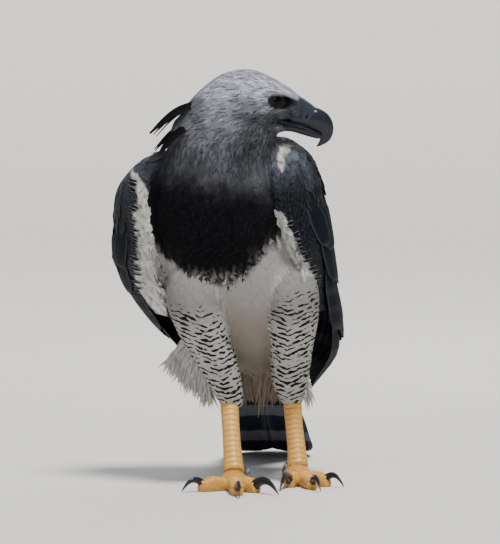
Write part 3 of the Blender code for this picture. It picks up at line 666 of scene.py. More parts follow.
class Shader:
    """A material whose nodes are made one after another from code."""

    def __init__(self, name, roughness=0.8, specular=0.3, coat=0.0):
        self.material = bpy.data.materials.new(name)
        self.material.use_nodes = True
        self.tree = self.material.node_tree
        self.surface = self.tree.nodes["Principled BSDF"]
        self.surface.inputs["Roughness"].default_value = roughness
        self.surface.inputs["Specular IOR Level"].default_value = specular
        self.surface.inputs["Coat Weight"].default_value = coat

    def node(self, kind, settings=None, sockets=None, out=0):
        """A new node with its settings and inputs, as the value of one of its outputs."""
        made = self.tree.nodes.new(kind)
        for key, value in (settings or {}).items():
            setattr(made, key, value)
        for key, value in (sockets or {}).items():
            if isinstance(value, Value):
                self.tree.links.new(value.socket, made.inputs[key])
            else:
                made.inputs[key].default_value = value
        return Value(self, made.outputs[out])

    def maths(self, operation, *values):
        return self.node("ShaderNodeMath", {"operation": operation}, dict(enumerate(values)))

    def mix(self, factor, a, b, mode="MIX"):
        settings = {"data_type": "RGBA", "blend_type": mode}
        return self.node("ShaderNodeMix", settings, {0: factor, 6: a, 7: b}, 2)

    def attribute(self, name, out=0):
        return self.node("ShaderNodeAttribute", {"attribute_name": name}, out=out)

    def parts(self, vector):
        split = self.node("ShaderNodeSeparateXYZ", sockets={0: vector}).socket.node
        return [Value(self, split.outputs[k]) for k in range(3)]

    def stretched(self, vector, scale):
        return self.node("ShaderNodeVectorMath", {"operation": "MULTIPLY"}, {0: vector, 1: scale})

    def noise(self, vector, scale, detail=2.0):
        return self.node("ShaderNodeTexNoise", {}, {"Vector": vector, "Scale": scale, "Detail": detail})

    def place(self):
        return self.node("ShaderNodeTexCoord", out=3)

    def uv(self):
        return self.node("ShaderNodeUVMap", {"uv_map": "feather"})

    def end(self, colour=None, rough=None, height=None, distance=0.0004, strength=1.0):
        """Joins the results to the surface."""
        if colour is not None:
            self.feed("Base Color", colour)
        if rough is not None:
            self.feed("Roughness", rough)
        if height is not None:
            sockets = {"Height": height, "Distance": distance, "Strength": strength}
            self.feed("Normal", self.node("ShaderNodeBump", {}, sockets))
        return self.material

    def feed(self, name, value):
        """Gives one of the surface's inputs a socket or a plain value."""
        if isinstance(value, Value):
            self.tree.links.new(value.socket, self.surface.inputs[name])
        else:
            self.surface.inputs[name].default_value = value


def rgb(colour, *factors):
    """A colour for a socket, its parts scaled by three factors or all by one."""
    scale = factors if len(factors) == 3 else (factors or (1.0,)) * 3
    return (*(part * factor for part, factor in zip(colour, scale)), 1.0)


def leg_bars(shader, colour, weight):
    """Short dark strokes in rows across the leg feathers, rising to both sides of each leg."""
    place = shader.place()
    x, z = shader.parts(place)[::2]
    left = x.step(0.034, 0.036)
    middle = left * 0.076 + (1.0 - left) * (0.003 - (z - 0.101) * 0.3)
    drift = (shader.noise(place, 85.0, 1.0) - 0.5) * 0.008
    wave = ((z - (x - middle).absolute() * 0.42 + drift) * (math.tau / 0.0066)).sine()
    gaps = shader.noise(shader.stretched(place, (1.0, 1.0, 2.2)), 95.0, 1.0)
    cover = (wave + (gaps - 0.5) * 5.5 - (1.0 - weight) * 2.2).step(0.25, 0.75)
    return shader.mix(cover * weight.step(0.0, 0.2), colour, (0.012, 0.012, 0.014, 1))


def plumage(name, roughness, specular):
    """Feathers: their tint and marks come from the mesh, their barbs and shaft from the blade's UV."""
    shader = Shader(name, roughness, specular)
    tint = shader.attribute("tint")
    rim, bars, bands = shader.parts(shader.attribute("marks", 1))
    u, v = shader.parts(shader.uv())[:2]
    across = ((u - 0.5) * 2.0).absolute()
    slant = {0: u * 3.0, 1: (v - across * 0.3) * 26.0, 2: rim}
    barbs = shader.noise(shader.node("ShaderNodeCombineXYZ", sockets=slant), 1.0, 1.0)
    colour = shader.mix((barbs - 0.5) * 0.5 + 0.25, tint, shader.stretched(tint, (0.62, 0.62, 0.64)))
    edge = shader.maths("MAXIMUM", across.step(0.7, 1.0), v.step(0.88, 1.0))
    # Pale feather edges: the head's own pale tips, and on the dark slate and black feathers partly a painted
    # sheen
    pale_edge_and_sheen = shader.maths("MINIMUM", edge * rim, 5.0) * 0.075
    colour = shader.node("ShaderNodeVectorMath", {"operation": "ADD"}, {0: colour, 1: pale_edge_and_sheen})
    wave = (v * (math.tau * 4.5)).sine() + (shader.noise(shader.uv(), 9.0) - 0.5) * 0.8
    stripe = wave.step(0.1, 0.5)
    grey = shader.mix(1.0, colour, (0.07, 0.07, 0.072, 1), "ADD")
    colour = shader.mix(stripe * bands, colour, grey)
    shaft = 1.0 - across.step(0.02, 0.07)
    colour = shader.mix(shaft * bands * 0.5, colour, (0.01, 0.01, 0.011, 1))
    colour = leg_bars(shader, colour, bars)
    return shader.end(colour, None, barbs, 0.0003, 0.6)


def skin_material(name):
    """The skin under the feathers, in their tints but darker, as painted shade in the gaps between them."""
    shader = Shader(name, 0.85, 0.15)
    bars = shader.parts(shader.attribute("marks", 1))[1]
    colour = leg_bars(shader, shader.attribute("tint"), bars)
    colour = shader.stretched(colour, (0.8, 0.8, 0.8))
    return shader.end(colour, None, shader.noise(shader.place(), 600.0), 0.0004, 0.5)


def horn_material(name, colour, roughness):
    """Polished horn with a faint grain."""
    shader = Shader(name, roughness, 0.3)
    grain = shader.noise(shader.stretched(shader.place(), (1.0, 1.0, 2.5)), 160.0, 3.0)
    tone = shader.mix(grain, rgb(colour), rgb(colour, 2.4))
    return shader.end(tone, grain * 0.2 + (roughness - 0.08), grain, 0.0002, 0.3)


def bare_material(name, colour, roughness, specular=0.2, scale=700.0, dark=0.7, pale=1.2):
    """Bare skin with a fine grain between a dark and a pale share of its colour."""
    shader = Shader(name, roughness, specular)
    grain = shader.noise(shader.place(), scale)
    tone = shader.mix(grain, rgb(colour, dark), rgb(colour, pale))
    return shader.end(tone, None, grain, 0.0003, 0.5)


def foot_material(name, colour):
    """Bare skin: warm yellow with darker creases between small round scales."""
    shader = Shader(name, 0.5, 0.4)
    place = shader.place()
    settings = {"feature": "DISTANCE_TO_EDGE"}
    cells = shader.node("ShaderNodeTexVoronoi", settings, {"Vector": place, "Scale": 520.0})
    crease = cells.step(0.0, 0.12)
    warm = shader.mix(shader.noise(place, 60.0), rgb(colour), rgb(colour, 0.95, 0.72, 0.5))
    tone = shader.mix(crease, rgb(colour, 0.42, 0.3, 0.3), warm)
    return shader.end(tone, None, crease, 0.0005, 0.8)


def scute_material(name, colour):
    """The plates on toes and tarsus: a little paler at their front edge."""
    shader = Shader(name, 0.42, 0.45, 0.1)
    v = shader.parts(shader.uv())[1]
    place = shader.place()
    warm = shader.mix(shader.noise(place, 90.0), rgb(colour), rgb(colour, 0.9, 0.75, 0.6))
    tone = shader.mix(v.step(0.0, 0.35), rgb(colour, 0.5, 0.36, 0.35), warm)
    return shader.end(tone, None, shader.noise(place, 900.0), 0.0002, 0.4)


def eye_material(name, iris):
    """A dark iris round a black pupil under a wet clear surface."""
    shader = Shader(name, 0.04, 0.09)
    u, v = shader.parts(shader.node("ShaderNodeUVMap", {"uv_map": "UVMap"}))[:2]
    pupil = v.step(0.835, 0.85)
    rim = 1.0 - v.step(0.72, 0.76)
    streak = shader.noise(shader.node("ShaderNodeCombineXYZ", sockets={0: u * 60.0, 1: v * 6.0}), 1.0)
    colour = shader.mix(streak, rgb(iris, 0.5), rgb(iris, 1.6))
    colour = shader.mix(shader.maths("MAXIMUM", pupil, rim), colour, (0.002, 0.002, 0.002, 1))
    return shader.end(colour)


# Plumage


def seen_height(p):
    """Height as it shows from the front, a little above."""
    middle = VIEW_TARGET[2]
    return middle + (p[..., 2] - middle) * math.cos(VIEW_RISE) + p[..., 1] * math.sin(VIEW_RISE)


def torso_middle(z):
    """The y of the torso's middle at each height."""
    return at_height(TORSO, z, 1)[0]


def on_legs(region):
    """Which points lie on either leg."""
    return (region == ON_RIGHT_LEG) | (region == ON_LEFT_LEG)


def front_tint(p, wave, sizes):
    """The white belly under the ragged lower edge of the breast band, and how black each point is."""
    x, z = p[:, 0], p[:, 2]
    over_edge = z - np.interp(x, *np.array(BAND_LOW).T)
    streak = ripple(p * np.array((1.0, 1.0, 0.3)), 2.6)
    is_black = smooth(-4, 4, over_edge + wave * 0.3 + streak * 3.5)
    fluff = np.exp(-(((x + 20) / 40) ** 2)) * smooth(26, 4, over_edge) * smooth(-12, 0, over_edge)
    is_black = is_black * (1 - 0.75 * fluff * smooth(-0.1, 0.7, streak))
    # Painted shade: the belly's white is darkened to 0.64 of the white, as the underside lies in shade
    belly = blend(np.array(sizes.white) * 0.64, BEIGE, 0.65 * smooth(262, 200, z))
    return blend(belly, np.array(sizes.black), is_black), is_black


def hood_tint(p, on_head, sizes):
    """The greys of head and neck, and where the dark lores are."""
    x, z = p[:, 0], p[:, 2]
    # Crown made paler as painted light from above, and a pale rear cheek; darker under the eye and at the
    # nape
    above_eye = z - 509 + 0.16 * np.maximum(x - 20, 0)
    tone = 0.62 + 0.75 * smooth(-4, 16, above_eye) + 0.32 * smooth(20, -20, x) * smooth(462, 486, z)
    tone = tone - 0.38 * smooth(498, 486, z) * smooth(-20, 10, x) * smooth(60, 40, x)
    tone = tone - 0.42 * smooth(-38, -60, x) * smooth(462, 486, z)
    # Darker down the neck, with a pale patch on the throat, and darker at the back of the neck as painted
    # shade
    throat = 1 - 0.24 * smooth(480, 452, z) - 0.4 * smooth(452, 410, z) + 0.42 * smooth(0, 30, x)
    throat = throat + 0.8 * np.exp(-(((x - 20) / 20) ** 2) - ((z - 404) / 13) ** 2)
    tone = tone * throat * (1 - 0.35 * smooth(-40, -84, x) * smooth(490, 450, z))
    over_brow = z - 3 - np.interp(x, *np.array(BROW).T)
    brow = np.exp(-((over_brow / 4) ** 2)) * smooth(16, 30, x) * smooth(78, 66, x)
    tone = tone + 0.35 * brow * on_head
    tone = tone * (1 + 0.2 * ripple(p, 3.6) + 0.22 * ripple(p, 7.0) + 0.18 * ripple(p, 17.0))
    hood = np.array(sizes.grey) * tone[:, None] * np.array((0.985, 1.0, 1.05))
    lores = smooth(50, 62, x) * smooth(515, 508, z - 0.25 * (62 - x)) * smooth(477, 482, z)
    hood = blend(hood, LORES, lores)
    # Black round the eye, part of it painted shade under the brow, and a painted shadow of the brow in a
    # tapered band before it; then the bare skin of the cere
    round_eye = np.hypot((x - EYE_X - 4) / 17, (z - EYE_Z + 1) / 10.5)
    near_eye = smooth(1.15, 0.8, round_eye) * smooth(517, 513, z) * on_head
    painted_brow_shadow = smooth(4.5, 2, np.abs(z - 510.5 + 0.36 * (x - 52))) * smooth(48, 54, x) * smooth(78, 70, x)
    hood = hood * (1 - 0.95 * near_eye)[:, None] * (1 - 0.6 * painted_brow_shadow * on_head)[:, None]
    return blend(hood, np.array(sizes.cere) * 1.25, smooth(73, 78, x) * on_head), lores


def wing_tint(p, side, t, c, sizes):
    """The slate of a wing with its white lining, painted light on its shoulder and painted shade in the
    lining's crease, and how white each point is.
    """
    x, high = p[:, 0], seen_height(p)
    keys = np.array(WHITE_LINING[side])
    start, end = (np.interp(high, keys[:, 0], keys[:, k]) for k in (1, 2))
    wide = smooth(0.2, 1.2, end - start) * (c < 0.32) * (c > -0.7)
    pale = smooth(-0.8, 0.8, x - start) * smooth(0.8, -0.8, x - end) * wide
    # Painted light on the shoulder's top: full on the left wing, weaker on the right
    painted_shoulder_light = smooth(0.24, -0.02, t) * smooth(0.42, 0.2, np.abs(c)) * (1.0 if side > 0 else 0.4)
    tone = np.array(sizes.slate) * 0.45 + SHOULDER_PAINTED_LIGHT * painted_shoulder_light[:, None]
    tone = tone * (1 + 0.3 * ripple(p, 5.0))[:, None]
    # Painted shade: the white lining darkens on the wing's inner face, below c of 0, as the crease where
    # wing and body meet
    lining = pale * (1 - smooth(-0.05, -0.3, c) * 0.8)
    return tone * (1 - pale)[:, None] + np.array(sizes.white) * 0.97 * lining[:, None], pale


def markings(p, region, t, c, sizes):
    """Tint, and marks for pale rim, leg bars and grey bands, at points of the bird."""
    x, y, z = p[:, 0], p[:, 1], p[:, 2]
    slate, white = np.array(sizes.slate), np.array(sizes.white)
    wave = ripple(p, 11.0) * 7 + ripple(p, 4.3) * 5
    front, is_black = front_tint(p, wave, sizes)
    hood, lores = hood_tint(p, region == ON_HEAD, sizes)
    hood_edge = 408 - 0.17 * (x + 70)
    is_hood = smooth(-26, 14, z - hood_edge - wave)
    behind = smooth(6, 34, y - torso_middle(z)) * smooth(478, 440, z + 0.3 * y)
    tint = blend(blend(front, hood, is_hood), slate, behind)
    marks = np.zeros((len(p), 3))
    rims = (0.2 + 0.3 * smooth(440, 490, z)) * is_hood * (1 - lores)
    marks[:, 0] = np.maximum(rims, 0.09 * is_black) * (1 - behind) + 0.3 * behind

    leg = on_legs(region)
    # Painted shade: the leg feathers darken towards the top of the legs, under the belly
    tint[leg] = white * (0.86 - 0.4 * smooth(190, 246, z))[leg][:, None]
    start = np.where(region == ON_LEFT_LEG, 246 + 0.5 * (x - 65), 228 - 0.2 * (x + 45))
    marks[leg, 1] = smooth(-8, 26, start - z - 0.25 * (y - 40) + ripple(p, 14.0) * 6)[leg]
    marks[leg, 0] = 0.0
    vent = region == ON_VENT
    tint[vent] = blend(white, BEIGE, (0.9 * smooth(-42, -24, x) * smooth(72, 56, x))[vent])
    marks[vent] = 0.0
    tail = region == ON_TAIL
    tint[tail] = slate * 0.6
    marks[tail, 0] = 0.7
    for side, number in WING_REGIONS.items():
        wing = region == number
        if wing.any():
            tint[wing], pale = wing_tint(p[wing], side, t[wing], c[wing], sizes)
            marks[wing, 0] = 0.45 * (1 - pale)
            marks[wing, 1:] = 0.0
    return tint, marks


def lie(p, region, t, c):
    """The way the feathers point at each place."""
    x, y, z = p[:, 0], p[:, 1], p[:, 2]
    centre = np.array(CERE_CENTRE, float)
    head = unit(p - centre) + vec(-0.45, 0 * x, -0.25 - 0.9 * smooth(20, -50, z - 490) * smooth(-40, 40, x))
    neck = vec(-0.12, 0.0 * x, -1.0) + 0.25 * unit(vec(x + 20, y, 0 * x))
    torso = vec(0.0006 * x, 0.457, -0.889 + 0 * x)
    way = blend(blend(torso, neck, smooth(405, 440, z)), head, smooth(440, 478, z))
    for name, number in LEG_REGIONS.items():
        here = at_height(THIGHS[name], z, 0, 1)
        above = at_height(THIGHS[name], z + 8, 0, 1)
        axis = vec(here[0] - above[0], here[1] - above[1], -8.0)
        way = np.where((region == number)[:, None], axis, way)
    way = np.where((region == ON_VENT)[:, None], vec(0.008 * x, 0.22, -1.0 + 0 * x), way)
    way = np.where((region == ON_TAIL)[:, None], vec(0 * x, 0.84, -0.54), way)
    for side, number in WING_REGIONS.items():
        wing = region == number
        if wing.any():
            share = np.abs(c[wing])
            on = wing_at(side, t[wing], share, 0) - wing_at(side, t[wing] - 0.02, share, 0)
            out = wing_at(side, t[wing], share + 0.01, 0) - wing_at(side, t[wing], share, 0)
            near = smooth(0.12, 0.02, share)[:, None] * np.sign(c[wing] + 1e-6)[:, None]
            way[wing] = unit(on) + unit(out) * 0.45 * near
    return unit(way)


def feather_sizes(p, region, t, c, sizes):
    """Length and width of the feather at each place."""
    z = p[:, 2]
    breast, back = sizes.breast_feather / MM, sizes.back_feather / MM
    long = 4.6 + 0.062 * np.linalg.norm(p - np.array(CERE_CENTRE), axis=1)
    wide = long * 0.5
    down = smooth(470, 400, z)
    long = long * (1 - down) + breast * down
    wide = wide * (1 - down) + breast * 0.56 * down
    behind = smooth(6, 34, p[:, 1] - torso_middle(z)) * smooth(470, 440, z)
    long = long + (back - long) * behind
    wide = wide + (back * 0.62 - wide) * behind
    short = sizes.leg_feather / MM * (0.75 + 0.9 * smooth(120, 260, z))
    covert = 14 + 34 * smooth(0.0, COVERTS_END, t)
    covert = np.where((np.abs(c) < 0.2) | (t > COVERTS_END), 10 + 5 * smooth(0.2, 0.6, t), covert)
    for here, its_long, its_wide in (
        (on_legs(region), short, short * 0.55),
        (region == ON_VENT, sizes.vent_plume / MM, 11),
        (region == ON_TAIL, 44, 22),
        (region >= ON_RIGHT_WING, covert, covert * 0.68),
    ):
        long, wide = np.where(here, its_long, long), np.where(here, its_wide, wide)
    return long, wide


def unwrap(p, region, t, c):
    """A spot from 0 to 1 for each place on the bird's skin, laid out flat."""
    x, y, z = p[:, 0], p[:, 1], p[:, 2]
    angle = np.arctan2(x + 10, -(y - torso_middle(z))) / math.tau + 0.5
    u, v = 0.01 + 0.47 * angle, 0.01 + 0.97 * z / 560
    for name, start in (("right", 0.50), ("left", 0.62)):
        leg_x, leg_y = at_height(THIGHS[name], z, 0, 1)
        angle = np.arctan2(x - leg_x, -(y - leg_y)) / math.tau + 0.5
        u = np.where(region == LEG_REGIONS[name], start + 0.11 * angle, u)
    vent, tail = region == ON_VENT, region == ON_TAIL
    u = np.where(vent, 0.505 + 0.1 * part_of(x, -120, 120), u)
    v = np.where(vent, 0.62 + 0.16 * part_of(z, 80, 230), v)
    u = np.where(tail, 0.505 + 0.1 * part_of(x, -60, 60), u)
    v = np.where(tail, 0.82 + 0.16 * part_of(y, 100, 300), v)
    for side, start in ((-1, 0.75), (1, 0.875)):
        wing = region == WING_REGIONS[side]
        u = np.where(wing, start + 0.055 + 0.054 * np.clip(c, -1, 1), u)
        v = np.where(wing, 0.01 + 0.97 * np.clip(t, 0, 1), v)
    return np.stack((u, v), -1)


class Skin:
    """The bare bird: its shapes, and the points of its surface with their regions and places."""

    parts = []
    source = None
    regions = None
    wing_places = None
    own = None
    normals = None
    place = None
    surface = None

    @classmethod
    def add(cls, rings, region, places=None):
        """Keeps one closed shape of the flesh as corners and faces."""
        walls, caps = tube_faces(1, rings.shape[0], rings.shape[1])
        cls.parts.append((rings.reshape(-1, 3), walls, caps, region, places))

    @classmethod
    def collect(cls):
        """Keeps all the shapes of the flesh."""
        cls.parts = []
        cls.add(upright_rings(HEAD, 60, 72, 2.15), ON_HEAD)
        cls.add(upright_rings(CHIN, 24, 40, 2.0), ON_HEAD)
        for side in (-1, 1):
            cls.add(brow_rings(side), ON_HEAD)
        cls.add(limb_rings(NECK, 40, 72, 2.1), ON_NECK)
        cls.add(limb_rings(TORSO, 70, 90, 2.15, in_pose), ON_TORSO)
        cls.add(limb_rings(VENT, 24, 60, 2.3, in_pose), ON_VENT)
        cls.add(tail_root_rings(), ON_TAIL)
        for name, region in LEG_REGIONS.items():
            cls.add(limb_rings(THIGHS[name], 50, 48), region)
        for side, region in WING_REGIONS.items():
            rings, t, c = wing_core_rings(side)
            cls.add(rings, region, np.stack((t.ravel(), c.ravel()), -1))

    @classmethod
    def tree(cls):
        """Makes a search tree of the shapes, with the region and the wing place of each face."""
        corners, faces, regions, places, first = [], [], [], [], 0
        for points, walls, caps, region, spots in cls.parts:
            corners.append(points)
            for group in (walls, caps):
                faces += [tuple(f) for f in (group + first).tolist()]
                regions += [region] * len(group)
                spot = spots[group][:, 0] if spots is not None else np.zeros((len(group), 2))
                places.append(spot)
            first += len(points)
        cls.source = BVHTree.FromPolygons(np.concatenate(corners).tolist(), faces)
        cls.regions = np.array(regions)
        cls.wing_places = np.concatenate(places)

    @classmethod
    def look_up(cls, p):
        """Region, t and c of the shape nearest to each point."""
        found = [cls.source.find_nearest(q)[2] for q in p.tolist()]
        return cls.regions[found], cls.wing_places[found, 0], cls.wing_places[found, 1]


def brow_rings(side):
    """The bony shelf over one eye."""
    t = np.linspace(0, 1, 24)
    line = spline_at(BROW, t)
    swell = np.sin(math.pi * (0.12 + 0.76 * t))
    half = spline_at((36, 36.5, 32.5, 24), t)
    centre = vec(line[:, 0], HEAD_Y + side * (half - 1.4), line[:, 1])
    across, up = np.tile((0.0, side, 0), (24, 1)), np.tile((0.0, 0, 1), (24, 1))
    return rings_of(centre, across, up, 7.5 * swell, 5.0 * swell, 2.8 * swell, 20, 2.0)


def tail_root_rings():
    """The flesh that the tail feathers grow from."""
    t = np.linspace(0, 1, 24)
    y, z = tail_line(-14 + 100 * t, 4)
    half, high = spline_at((24, 34, 36, 31), t), spline_at((18, 20, 15, 7), t)
    across, up = np.tile((1.0, 0, 0), (24, 1)), np.tile((0, 0.3, 0.95), (24, 1))
    return in_pose(rings_of(vec(0, y, z), across, up, half, high, high * 0.8, 40, 2.3))


class EAGLE_OT_skin(bpy.types.Operator):
    """Model the one skin that lies under all the feathers"""

    bl_idname = "eagle.skin"
    bl_label = "Skin"

    def execute(self, context):
        sizes = context.scene.eagle
        Skin.collect()
        Skin.tree()
        pieces = []
        for points, walls, caps, *_ in Skin.parts:
            mesh = bpy.data.meshes.new("flesh")
            mesh.from_pydata(in_world(points).tolist(), [], walls.tolist() + caps.tolist())
            pieces.append(new_object("flesh", mesh))
        skin = joined("skin", pieces)
        bpy.ops.object.mode_set(mode="EDIT")
        bpy.ops.mesh.select_all(action="SELECT")
        bpy.ops.mesh.normals_make_consistent(inside=False)
        bpy.ops.object.mode_set(mode="OBJECT")
        even_skin(skin, sizes.skin_step, 4)
        if len(skin.data.polygons) < 1000:
            raise RuntimeError("the skin has no surface")
        mesh = skin.data
        own = values_of(mesh.vertices, "co") / MM - shift()
        normals = values_of(mesh.vertex_normals, "vector")
        region, t, c = Skin.look_up(own)
        z = own[:, 2]
        depth = np.where(region <= ON_NECK, 0.9 + 3.1 * smooth(480, 420, z), sizes.coat_depth / MM)
        depth = np.where((region == ON_VENT) | (region >= ON_RIGHT_WING), 2.0, depth)
        depth = np.where(on_legs(region), 1.2 + 1.6 * smooth(110, 220, z), depth)
        for _ in range(6):
            depth = spread(mesh, depth)
        own = own - normals * depth[:, None]
        mesh.vertices.foreach_set("co", in_world(own).ravel())
        mesh.update()
        mesh.polygons.foreach_set("use_smooth", np.ones(len(mesh.polygons), bool))
        tint, marks = markings(own, region, t, c, sizes)
        paint(mesh, "tint", tint)
        paint(mesh, "marks", marks)
        flesh = ("head", "neck", "crest", "breast", "belly", "vent", "tail")
        flesh += ("thigh_left", "thigh_right", "wing_left", "wing_right")
        finish_piece(skin, skin_material("skin"), flesh)
        Skin.own, Skin.normals, Skin.place = own, normals, (region, t, c)
        return {"FINISHED"}


def spread(mesh, values):
    """Each point's value averaged with those along its edges."""
    edges = values_of(mesh.edges, "vertices", 2, int)
    total, number = values.copy(), np.ones(len(values))
    np.add.at(total, edges[:, 0], values[edges[:, 1]])
    np.add.at(total, edges[:, 1], values[edges[:, 0]])
    np.add.at(number, edges.ravel(), 1)
    return total / number


NEAR_CELLS = tuple(itertools.product((-1, 0, 1), repeat=3))


def scattered(points, gaps, seed):
    """Numbers of points picked in a mixed order so that each keeps its own gap from the rest."""
    order = np.random.default_rng(seed).permutation(len(points))
    cell = float(gaps.max())
    cells, kept = {}, []
    rows, room = points.tolist(), gaps.tolist()
    for k in order.tolist():
        x, y, z = rows[k]
        i, j, m = home = (int(x // cell), int(y // cell), int(z // cell))
        limit = room[k] ** 2
        crowded = any(
            (x - qx) ** 2 + (y - qy) ** 2 + (z - qz) ** 2 < limit
            for a, b, d in NEAR_CELLS
            for qx, qy, qz in cells.get((i + a, j + b, m + d), ())
        )
        if not crowded:
            cells.setdefault(home, []).append((x, y, z))
            kept.append(k)
    return np.array(kept, int)


# Shares of a small feather's width, of its thickness and of its tip's tint, from root to tip
BODY_FEATHER = (0.55, 0.92, 1.0, 0.8, 0.22)
POINTED_FEATHER = (0.6, 0.95, 0.85, 0.5, 0.1)
BODY_THICKNESS = np.array((1.0, 1.0, 0.9, 0.7, 0.3))
TIP_SHARE = np.array((0.0, 0.0, 0.2, 0.7, 1.0))


class Look(NamedTuple):
    """How one kind of small feather is made: thickness for its width, outline, how close they lie,
    how far tips stand up, swing in degrees and unevenness of tint."""

    thick: float
    shape: tuple
    density: float
    raised: float
    swing: float
    vary: float
    longer: float = 1.0
    wider: float = 1.0
    by_point: bool = False
    mixed: float = 0.0


SHORT = Look(0.08, POINTED_FEATHER, 2.3, 0.65, 10, 0.24, longer=1.35, wider=0.62)
RUFF = Look(0.07, POINTED_FEATHER, 2.6, 0.8, 11, 0.22, longer=1.2, wider=0.62)
BREAST = Look(0.06, BODY_FEATHER, 2.6, 0.6, 7, 0.16)
FINE = Look(0.035, POINTED_FEATHER, 3.0, 0.16, 5, 0.03, by_point=True)
EDGE = Look(0.04, POINTED_FEATHER, 3.0, 0.25, 13, 0.2, longer=0.62, wider=0.34, mixed=0.5)
COVER = Look(0.06, BODY_FEATHER, 1.4, 0.7, 4, 0.12)
LOOSE = Look(0.1, POINTED_FEATHER, 2.6, 1.0, 12, 0.04)
LEG = Look(0.06, POINTED_FEATHER, 2.0, 0.42, 7, 0.04)
COVERT = Look(0.03, BODY_FEATHER, 2.2, 0.35, 4, 0.26, by_point=True)


def blades(centres, normals, ways, wide, shape, thick):
    """Rings of four points for small feathers from their middle lines, widths and thickness."""
    across = np.cross(normals, ways)
    half = (wide[:, None] / 2 * np.array(shape)[None])[..., None]
    body = np.minimum(wide * thick, 1.6)[:, None, None] * BODY_THICKNESS[None, :, None]
    left, right = centres - across * half, centres + across * half
    return np.stack((left, centres + normals * body, right, centres - normals * body * 0.35), 2)


def coat(name, chosen, sizes, seed, look):
    """Feathers over the skin's chosen points, each following the surface down the plumage's lie."""
    region, t, c = (v[chosen] for v in Skin.place)
    p, normal = Skin.own[chosen], Skin.normals[chosen]
    long, wide = feather_sizes(p, region, t, c, sizes)
    long, wide = long * look.longer, wide * look.wider
    gaps = np.maximum(0.5 * np.sqrt(long * wide) / math.sqrt(look.density), 1.8)
    parts = []
    for low, high in ((0, 3.5), (3.5, 6), (6, 10), (10, 1000)):
        band = np.nonzero((gaps >= low) & (gaps < high))[0]
        if len(band):
            parts.append(band[scattered(p[band], gaps[band], seed)])
    picked = np.concatenate(parts)
    p, normal, long, wide = p[picked], normal[picked], long[picked], wide[picked]
    region, t, c = region[picked], t[picked], c[picked]
    rng = np.random.default_rng(seed + 1)
    count, rows = len(p), len(look.shape)
    long = long * rng.uniform(0.88, 1.14, count)
    wide = wide * rng.uniform(0.9, 1.12, count)
    centres, normals, ways = (np.empty((count, rows, 3)) for _ in range(3))
    here, face = p.copy(), normal.copy()
    swing = np.radians(rng.normal(0, look.swing, count))[:, None]
    for row in range(rows):
        way = lie(here, region, t, c)
        way = unit(way - face * (way * face).sum(1, keepdims=True))
        way = unit(way * np.cos(swing) + np.cross(face, way) * np.sin(swing))
        centres[:, row], normals[:, row], ways[:, row] = here, face, way
        ahead = here + way * (long / (rows - 1))[:, None]
        found = [Skin.surface.find_nearest(q) for q in ahead.tolist()]
        here = np.array([tuple(f[0]) for f in found])
        face = unit(np.array([tuple(f[1]) for f in found]) + normals[:, row])
    s = np.linspace(0, 1, rows)[None, :]
    tall = long[:, None]
    rise = -0.8 + (1.3 + 0.085 * tall * look.raised) * smooth(0, 0.5, s) + 0.045 * tall * look.raised * s
    rise = rise + rng.uniform(-0.25, 0.25, (count, 1))
    centres = centres + normals * rise[..., None]
    rings = blades(centres, normals, ways, wide, look.shape, look.thick)
    shade = rng.normal(1, look.vary, (count, 1)).clip(0.3, 1.9)
    if look.by_point:
        many = rows * 4
        spots = (v.repeat(many) for v in (region, t, c))
        tint, marks = markings(rings.reshape(-1, 3), *spots, sizes)
        tints = tint.reshape(count, rows, 4, 3) * shade[:, None, None]
        all_marks = marks.reshape(count, rows, 4, 3)
    else:
        tint, marks = markings(centres[:, 2], region, t, c, sizes)
        tint_tip = markings(centres[:, 4], region, t, c, sizes)[0]
        if look.mixed:
            chance = rng.random((count, 1))
            pale = np.array(sizes.white) * (0.25 + 1.4 * chance)
            tint = np.where(chance < look.mixed, pale, np.array(sizes.black) * (1 + 9 * (chance - 0.4)))
            tint_tip = tint
        tint, tint_tip = ((v * shade)[:, None, None] for v in (tint, tint_tip))
        tints = blend(tint, tint_tip, TIP_SHARE[None, :, None])
        all_marks = np.broadcast_to(marks[:, None, None], (count, rows, 4, 3))
    return tubes(name, rings, np.clip(tints, 0, 1), all_marks, unwrap(p, region, t, c))


